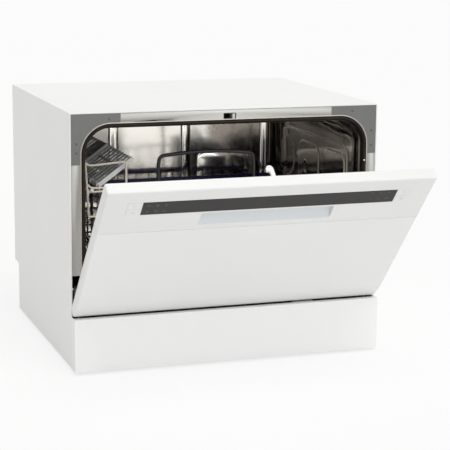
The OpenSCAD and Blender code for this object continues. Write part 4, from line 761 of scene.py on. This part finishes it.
# Left: pot and star, plate with rim and drops, glass and trough; right: rings over dashes
STRIP_MARKS = (
    (-203, 404, [("-", -2.6, 1.2, 2.6, 1.2), ("-", -2.0, -1.6, 2.0, -1.6), ("-", -2.3, 1.2, -2.0, -1.6),
                 ("-", 2.3, 1.2, 2.0, -1.6)]),
    (-203, 389, STAR),
    (-189, 404, [("o", 0, 0, 2.3), ("o", 0, 0, 1.2, 0.4)]),
    (-189, 389, [("o", -1.5, -0.4, 1.1, 0.45), ("-", -1.5, 0.8, -1.5, 2.2, 0.45),
                 ("o", 1.5, -0.4, 1.1, 0.45), ("-", 1.5, 0.8, 1.5, 2.2, 0.45)]),
    (-175, 404, [("-", -1.8, 2.2, -1.2, -0.4), ("-", 1.8, 2.2, 1.2, -0.4), ("-", -1.2, -0.4, 1.2, -0.4),
                 ("-", 0, -0.4, 0, -2.2), ("-", -1.4, -2.2, 1.4, -2.2)]),
    (-175, 389, [("-", -2.4, -1.6, 2.4, -1.6), ("-", -2.4, -1.6, -1.4, 1.8, 0.45),
                 ("-", 2.4, -1.6, 1.4, 1.8, 0.45)]),
    (170, 407, [("o", 0, 0, 1.7, 0.45)]),
    (170, 392, [DASH]),
    (184.5, 407, [("o", 0, 0, 1.7, 0.45, 60)]),
    (184.5, 392, [DASH, ("-", 0, -1.9, 0, 1.9, 0.45)]),
    (199, 407, [("o", 0, 0, 1.7, 0.45, 60), ("-", 0, 0, 1.0, 0.9, 0.4)]),
    (199, 392, [DASH, ("o", 0, 0, 2.2, 0.4)]),
)
# Each button's middle, the gap of its ring and its sign
BUTTON_MARKS = (
    ("power_button", -226, 405, 70, [("-", 0, 0.6, 0, 3.4, 0.45)]),
    ("program_button", -226, 389, 0, [("-", -1.2, 0, 1.2, 0, 0.45)]),
    ("delay_button", 226, 405, 0, [("-", 0, 0, 0, 1.8, 0.4), ("-", 0, 0, 1.5, 0, 0.4)]),
    ("start_button", 226, 389, 0, [("-", -0.8, -1.4, -0.8, 1.4, 0.4), ("-", -0.8, 1.4, 1.6, 0, 0.4),
                                   ("-", -0.8, -1.4, 1.6, 0, 0.4)]),
)


def make_marks():
    """Generic pictograms on the strip, and the mark of each button, which rides with its button."""
    s = Shape()
    for x, z, marks in STRIP_MARKS:
        print_marks(s, DOOR_FACE - 0.05, x, z, marks)
    on_door("strip_marks", s, "icon", "light_plastic", smooth=30, merge=0.0001)
    for name, x, z, gap, sign in BUTTON_MARKS:
        s = Shape()
        print_marks(s, DOOR_FACE - 0.35, x, z, [("o", 0, 0, 2.7, 0.45, gap)] + sign)
        piece(name + "_mark", s, "mark", name, slot="strip_dark", place=swing, merge=0.0001)


def make_hook():
    """White finger of the latch, bent towards the left at its tip."""
    outline = [(-2.0, -238.0), (-1.4, -232), (-0.6, -226), (-0.8, -221.5), (-2.0, -219.4), (-3.6, -219.2),
               (-5.0, -220.2), (-6.2, -219.0), (-6.5, -216.4), (-5.9, -213.0), (-4.2, -210.2), (-1.6, -208.5),
               (1.4, -208.1), (4.0, -209.3), (5.7, -211.8), (6.4, -215.5), (6.5, -222), (6.4, -230),
               (6.6, -238)]
    finger, base = Shape(), Shape()
    finger.prism(outline, at_z(422.1), at_z(426.9))
    base.prism(rect(-7.2, 418.6, 7.2, 433, 2.0, 3), at_y(-238.0), at_y(-235.6))
    on_door("latch_finger", finger, "hook", "button_white", node="latch_hook", bevel=1.1, segments=3, limit=30)
    on_door("latch_base", base, "hook", "button_white", bevel=0.5)


# -------------------- rack

def rack_loop(z):
    """Closed rounded rectangle of the rack at one height."""
    return [(x, y, z) for x, y in rect(-RACK_HALF, RACK_FRONT, RACK_HALF, RACK_REAR, RIM_R, 6)]


def make_rack():
    s = Shape()
    for z, r, sides in ((RIM_Z, 2.5, 10), ((RIM_Z + FLOOR_WIRE_Z) / 2, 1.8, 8), (FLOOR_WIRE_Z + 12, 1.8, 8)):
        s.tube(rack_loop(z), r, sides, closed=True)
    cross_z, edge_x = FLOOR_WIRE_Z + 3.6, RACK_HALF - 0.4
    # Wires that run up the front, along the floor and up the rear
    for i in range(-8, 9):
        x = i * 25.0
        path = [(x, RACK_FRONT + 0.4, RIM_Z + 1), (x, RACK_FRONT + 3, FLOOR_WIRE_Z),
                (x, RACK_REAR - 3, FLOOR_WIRE_Z), (x, RACK_REAR - 0.4, RIM_Z + 1)]
        s.tube(fillet(path, 12, 5), 1.75, 8)
    # Wires from side to side, with short uprights between them
    for i in range(6):
        y = RACK_FRONT + 25 + i * 56.0
        path = [(-edge_x, y, RIM_Z + 1), (-RACK_HALF + 3, y, cross_z - 0.4), (RACK_HALF - 3, y, cross_z - 0.4),
                (edge_x, y, RIM_Z + 1)]
        s.tube(fillet(path, 12, 5), 1.75, 8)
        if i < 5:
            for x in (-edge_x, edge_x):
                s.tube([(x, y + 28, RIM_Z), (x, y + 28, FLOOR_WIRE_Z + 12)], 1.6, 8)
    s.tube([(-RACK_HALF, -95, FLOOR_WIRE_Z), (RACK_HALF, -95, FLOOR_WIRE_Z)], 1.75, 8)
    # Two rows of folded plate tines on a carrying wire
    for y in (-15, 55):
        s.tube([(-182, y, cross_z), (142, y, cross_z)], 1.9, 8)
        for i in range(10):
            x = -165 + i * 32
            path = [(x, y - 2, cross_z), (x, y - 1, FLOOR_WIRE_Z + 78), (x, y + 3, FLOOR_WIRE_Z + 83)]
            s.tube(fillet(path, 6, 4), 1.7, 8)
    piece("rack_wires", s, "rack", "rack", slot="rack_coat", node="rack_basket", smooth=60)
    # Flat band along the rim's rear
    band = Shape()
    straight = RACK_HALF - RIM_R
    band.box((-straight, RACK_REAR - 1.2, RIM_Z + 1.5), (straight, RACK_REAR + 1.2, RIM_Z + 9.3))
    piece("rack_band", band, "band", "rack", slot="rack_coat", bevel=0.8)


def make_handle():
    s, clips = Shape(), Shape()
    y, foot = -95.0, FLOOR_WIRE_Z + 4
    start = fillet([(-82, y, foot), (-82, y, 320), (-80, y, 339.5), (-58, y, 341.5)], 13, 7)
    top = [(8 + 66 * t, y, 341.5 + 3.5 * (1 - t * t)) for t in (k / 8 for k in range(-7, 8))]
    end = fillet([(74, y, 341.5), (96, y, 339.5), (98, y, 320), (98, y, foot)], 13, 7)
    s.tube(start + top + end, 3.4, 12)
    piece("arch_bar", s, "handle", "rack", slot="handle_grey", node="rack_handle", smooth=60)
    for x in (-82, 98):
        clips.prism(rect(x - 7.5, y - 7, x + 7.5, y + 7, 3, 4), at_z(FLOOR_WIRE_Z + 2), at_z(FLOOR_WIRE_Z + 11))
        clips.lathe([(4.8, 0), (4.8, 10), (4.0, 12)], (x, y, FLOOR_WIRE_Z + 11), n=20)
    piece("arch_clips", clips, "handle", "rack", slot="handle_grey", bevel=0.8)


def make_loops():
    """Pale bent wires that carry the rod of the cup shelves, at the front and the rear."""
    s, knobs = Shape(), Shape()
    x0, x1, foot = -238.0, -171.0, RIM_Z + 4.5
    for y, lean in ((RACK_FRONT, 3.6), (RACK_REAR, 0.4)):
        path = [(x0 + 1.5, y, foot), (x0 - 0.4 * lean, y, 314), (x0 - lean, y, 350.5), (x0 + 1.5, y, 346.0),
                (x0 + 10, y, 345.7), (x1 - 8, y, 349.6), (x1, y, 349), (x1, y, foot)]
        s.tube(fillet(path, [4, 2, 3, 4, 3, 7], 5), 1.9)
        low = [(x0, y, 314), (x0 + 4, y, 308.5), (x0 + 14, y, 306.8), (-203, y, 307.5)]
        s.tube(fillet(low, 4, 4), 1.8)
        s.tube(fillet([(x0 + 0.5, y, 306), (x0 + 1, y, 297), (x0 - 1, y, 292)], 4, 4), 1.8)
        s.tube([(x0 + 1.5, y, foot), (-216, y, foot)], 2.0)
        s.tube([(x1 - 8, y, foot), (x1 + 8, y, foot)], 2.0)
        s.tube([(x0 + 2, y, 300.5), (-206, y, 301.5)], 1.7)
    s.tube([(ROD_X, RACK_FRONT - 1, ROD_Z), (ROD_X, RACK_REAR + 1, ROD_Z)], 2.0, 12)
    s.tube([(x0, RACK_FRONT, 303), (x0, RACK_REAR, 303)], 2.0)
    # Wires across the side of the rack, below
    for z in (246, 217, 203):
        s.tube([(-229.6, RACK_FRONT + 20, z), (-229.6, RACK_REAR - 20, z)], 1.4, 8)
    piece("loop_wires", s, "loop", "rack", slot="loop_beige", node="rack_loops", smooth=60)
    for y in (RACK_FRONT, RACK_REAR):
        knobs.lathe([(0, -4.2), (2.4, -3.6), (3.4, -2), (3.4, 2), (2.4, 3.6), (0, 4.2)], (-231, y, 303),
                    axis="y", n=20)
    piece("loop_knobs", knobs, "button", "rack", slot="loop_beige", smooth=60)


def make_shelf(name, y0, plain=0.0):
    """Cup shelf about its rod, tilted up: slats with a webbed half and free ends, plain over a first length."""
    width = SHELF_WIDTH
    c, sn = math.cos(SHELF_TILT), math.sin(SHELF_TILT)

    def tilted(p):
        u, y, h = p
        return (ROD_X + u * c - h * sn, y, ROD_Z + u * sn + h * c)
    s, webs = Shape(), Shape()
    y1 = y0 + SHELF_LENGTH
    # Sleeve on the rod, in three knuckles
    for a, b in ((y0, y0 + 34), (y0 + 46, y1 - 46), (y1 - 34, y1)):
        s.lathe([(2.3, a), (4.4, a), (4.4, b), (2.3, b)], (0, 0, 0), axis="y", n=18)
    # Slats from the rod to the free edge, with webs between them that leave holes beside the cross bars
    start, count = y0 + 4 + plain, 8 - round(plain / 18)
    pitch = (y1 - 4 - start) / count
    for i in range(count):
        y = start + pitch * (i + 0.5)
        s.box((3.5, y - 4.2, -0.9), (width - 0.8, y + 4.2, 0.5))
    for i in range(count + 1):
        y = start + pitch * i
        for u0, u1 in ((5.0, 19.5), (25.0, 41.0)):
            webs.box((u0, max(y - 5.2, y0 + 1), -2.6), (u1, min(y + 5.2, y1 - 1), -1.2))
    if plain:
        s.box((3.5, y0 + 2, -2.2), (width - 0.8, start + 1.0, 0.8))
        s.box((22.0, start - 16, 0.5), (width - 14, start - 2, 2.0))
    # Cross bars along the depth, and the low bar that joins the free ends
    for u, low, high in ((7.0, -3.9, -1.4), (27.5, -3.9, -1.4), (48.0, -3.6, 2.2)):
        s.box((u - 1.9, y0 + 1.5, low), (u + 1.9, y1 - 1.5, high))
    s.box((width - 4.6, y0 + 0.3, -4.2), (width - 1.2, y1 - 0.3, -1.0))
    # Thick end bars
    for ya, yb in ((y0 + 0.2, y0 + 6.0), (y1 - 6.0, y1 - 0.2)):
        s.prism([(-2, -4.2), (width - 1, -4.2), (width - 1, 3.2), (width - 6, 3.4), (6, 3.4), (-2, 3.6)],
                at_y(ya), at_y(yb))
    piece(name + "_slats", s, "shelf", name, slot="shelf_grey", node=name, place=tilted, bevel=0.4, limit=30)
    # The webs under the slats take the darker arm plastic, painted shade between and under the slats
    piece(name + "_webs", webs, "arm", name, slot="shelf_grey", place=tilted, bevel=0.3)


# -------------------- cutlery basket, spray arm and liner

def make_cutlery_basket():
    s, loop = Shape(), Shape()
    x0, x1, y0, y1, z0, z1 = 148.0, 218.0, -193.0, -63.0, 168.2, 280.0
    w, bar = 1.9, 2.6
    mid, third = (x0 + x1) / 2, (y1 - y0) / 3

    def hoop(z, h):
        for xa, ya, xb, yb in ((x0, y0, x1, y0 + w), (x0, y1 - w, x1, y1),
                               (x0, y0, x0 + w, y1), (x1 - w, y0, x1, y1)):
            s.box((xa, ya, z), (xb, yb, z + h))
    # Rims and partitions, with slatted walls between and two hoops round them
    hoop(z0, 3.0)
    hoop(z1 - 5, 5.0)
    s.box((mid - w / 2, y0 + 0.5, z0 + 0.5), (mid + w / 2, y1 - 0.5, z1 - 2))
    for k in (1, 2):
        y = y0 + (y1 - y0) * k / 3
        s.box((x0 + 0.5, y - w / 2, z0 + 0.5), (x1 - 0.5, y + w / 2, z1 - 2))
    for k in range(14):
        y = y0 + (y1 - y0 - bar) * k / 13
        for x in (x0 + 0.2, x1 - w):
            s.box((x, y, z0), (x + w - 0.2, y + bar, z1 - 1))
    for k in range(8):
        x = x0 + (x1 - x0 - bar) * k / 7
        for y in (y0 + 0.2, y1 - w):
            s.box((x, y, z0), (x + bar, y + w - 0.2, z1 - 1))
    hoop(205, 2.4)
    hoop(242, 2.4)
    # Floor of crossing bars
    for k in range(1, 10):
        y = y0 + (y1 - y0) * k / 10
        s.box((x0 + 0.5, y - bar / 2, z0), (x1 - 0.5, y + bar / 2, z0 + 2))
    for k in range(1, 6):
        x = x0 + (x1 - x0) * k / 6
        s.box((x - bar / 2, y0 + 0.5, z0), (x + bar / 2, y1 - 0.5, z0 + 2))
    piece("cutlery_cage", s, "arm", "cutlery_basket", slot="arm_grey", node="cutlery_basket", bevel=0.35,
          segments=1, limit=60)
    y = y0 + third
    loop.tube(fillet([(mid - 19, y, z1 - 6), (mid - 18, y, z1 + 13.5), (mid + 18, y, z1 + 13.5),
                      (mid + 19, y, z1 - 6)], 9, 6), 2.4)
    piece("cutlery_loop", loop, "arm", "cutlery_basket", slot="arm_grey", smooth=60)


def make_spray_arm():
    """Hollow moulded arm: a tapering crowned section along the length, with nozzles."""
    s, nozzles, boss = Shape(), Shape(), Shape()
    # Distance from the hub, half width and crown's height
    half = [(178, 6.5, 2.6), (175, 10.5, 4.0), (168, 13.0, 5.2), (120, 13.8, 6.2), (60, 14.6, 7.0),
            (30, 17.5, 8.0), (14, 22.0, 9.6)]
    rings = []
    for x, w, h in [(-x, w, h) for x, w, h in half] + [(0, 24.0, 10.2)] + half[::-1]:
        ring = []
        for cu, cv in circle(0, 0, 1, 24):
            u = math.copysign(abs(cu) ** 0.62, cu) * w
            v = math.copysign(abs(cv) ** 0.75, cv)
            ring.append((x, ARM_Y + u, 152.2 + (v * h if v > 0 else v * 3.6)))
        rings.append(ring)
    s.rings(rings, cap_start=True, cap_end=True)
    piece("arm_shell", s, "arm", "spray_arm", slot="arm_grey", node="spray_arm", smooth=50)
    for side in (1, -1):
        for i in range(7):
            z = 157.3 if i < 1 else 157.3 - 0.12 * i
            nozzles.lathe([(3.4, 0), (3.0, 1.3), (1.9, 1.7), (1.3, 0.6), (0, 0.2)],
                          (side * (44 + i * 20), ARM_Y + side * (5.5 if i % 2 else -5.5), z), n=16)
    piece("arm_nozzles", nozzles, "dark", "spray_arm", slot="arm_grey", smooth=50)
    boss.lathe([(23.5, 154.2), (23.5, 160.5), (22, 162.8), (12, 163.5), (8.3, 162.0), (8.3, 156)],
               (0, ARM_Y, 0))
    piece("arm_boss", boss, "arm", "spray_arm", slot="arm_grey", smooth=45)


def make_liner():
    """Inner sheet of the door: a flat border, a raised field with rounded edges, and pressed beads."""
    s, beads, screws = Shape(), Shape(), Shape()
    y0, rise = DOOR_BACK + 1.0, 11.0
    half, low, top, r = 233.0, 150.0, 398.0, 30.0
    nx, bx, nz, z1 = 251.2, 267.6, 175.5, 433.8
    border = [(-nx, 105.2), (nx, 105.2), (nx, nz), (bx, nz), (bx, z1), (-bx, z1), (-bx, nz), (-nx, nz)]

    def drawn(inset):
        return rounded_outline(half - inset, low + inset, top - inset, r - inset * 0.6, r - inset * 0.6, 10, 10)
    s.flat([border, drawn(0)], at_y(y0), True)
    s.rings([upright(drawn(i), y0 + h) for i, h in
             ((0, 0), (0.5, 0.5), (1.3, 2.0), (3.6, rise - 2.2), (4.8, rise - 0.6), (6.6, rise))])
    dispenser = rect(-126.4, 214.6, 74.4, 325.4, 3, 3)
    s.flat([drawn(6.6), dispenser], at_y(y0 + rise), True)
    s.rings([upright(dispenser, y0 + rise), upright(dispenser, y0 + rise - 4)])
    on_door("liner_sheet", s, "liner", "liner_steel", node="door_liner", solid=0.6, smooth=45)
    # Pressed beads, drawn in towards their middle line as they rise
    for a, b in (((-190, 172), (190, 172)), ((-190, 188), (190, 188)), ((-175, 372), (175, 372)),
                 ((112, 232), (112, 318)), ((140, 232), (140, 318)), ((-160, 232), (-160, 318)),
                 ((-188, 232), (-188, 318))):
        a, b = Vector(a), Vector(b)
        d = (b - a).normalized()
        normal = Vector((-d.y, d.x))
        loop = [end + d * math.cos(t) * 3.2 + normal * math.sin(t) * 3.2 for end, start in ((a, 90), (b, -90))
                for t in (math.radians(start + 180 * k / 8) for k in range(9))]
        rings = []
        for share, h in ((1, 0.0), (0.8, 0.6), (0.5, 1.0), (0.2, 1.15)):
            ring = []
            for p in loop:
                on_line = a + d * min(max((p - a).dot(d), 0), (b - a).length)
                q = on_line + (p - on_line) * share
                ring.append((q.x, y0 + rise + 0.25 + h, q.y))
            rings.append(ring)
        beads.rings(rings, cap_end=True)
    on_door("liner_beads", beads, "liner", "liner_steel", smooth=60)
    # Screws along the border
    spots = [(x, z) for x in (-259, 259) for z in (196, 262, 330, 420)]
    for x, z in spots + [(x, 425) for x in (-170, -60, 60, 170)]:
        screws.lathe([(3.6, 0.3), (3.4, 1.0), (2.2, 1.5), (0, 1.6)], (x, y0, z), axis="y", n=20)
    on_door("liner_screws", screws, "zinc", "zinc", smooth=50)


make_camera()
make_stage()
make_front_frame()
make_tub()
make_gasket()
make_corner_plates()
make_door_panel()
make_console()
make_marks()
make_hook()
make_rack()
make_handle()
make_loops()
make_shelf("cup_shelf_front", RACK_FRONT + 8)
make_shelf("cup_shelf_rear", RACK_REAR - 8 - SHELF_LENGTH, plain=54.0)
make_cutlery_basket()
make_spray_arm()
make_liner()

# -------------------- CAD nodes that keep their shape

# Finish, width of the softened edges in mm, and the nodes
DRESS = (
    # The kick panel takes the lighter copy of the cabinet enamel, painted light
    ("cabinet", 0.55, "outer_cabinet"), ("galvanised", 0.25, "rear_cover"), ("kick", 0.7, "kick_panel"),
    ("tray", 0.5, "base_tray"), ("tray", 0.4, "cable_gland"), ("tray", 0.0, "wiring_harness"),
    ("zinc", 0.3, "hinge_brackets cabinet_screws hinge_arms"), ("zinc", 0.0, "door_springs"),
    ("light", 0.3, "latch_lever"), ("light", 0.4, "flood_float"),
    ("light", 0.5, "gap_bracket inlet_valve intake_chamber"),
    ("light", 0.6, "softener_tank dispenser_body dispenser_lid"),
    ("dark", 0.3, "latch_housing wheel_carriers"), ("dark", 0.4, "sump spray_hub drain_pump drain_outlet"),
    ("dark", 0.5, "wash_pump salt_cap"), ("liner", 0.2, "filter_plate"), ("liner", 0.3, "heater"),
    ("mid", 0.3, "filter_cylinder"), ("mid", 0.0, "water_hoses"), ("felt", 0.8, "insulation_mats"),
    ("rubber", 0.5, "foot_front_left foot_front_right foot_rear_left foot_rear_right"),
    ("strip", 0.2, "display_strip"), ("board", 0.1, "control_board"), ("gasket", 0.8, "door_seal"),
    ("blue", 0.5, "rinse_cap"), ("button", 0.4, "power_button program_button delay_button start_button"),
    ("arm", 0.5, "front_wheels rear_wheels"),
)
# Nodes that a piece above replaces
HIDDEN = ("tub tub_floor tub_gasket corner_plates door_panel control_console latch_hook rack_basket "
          "rack_handle rack_loops cup_shelf_front cup_shelf_rear cutlery_basket spray_arm door_liner")
for mat, bevel, names in DRESS + (("dark", 0.0, HIDDEN),):
    for name in names.split():
        dress(name, mat, bevel)
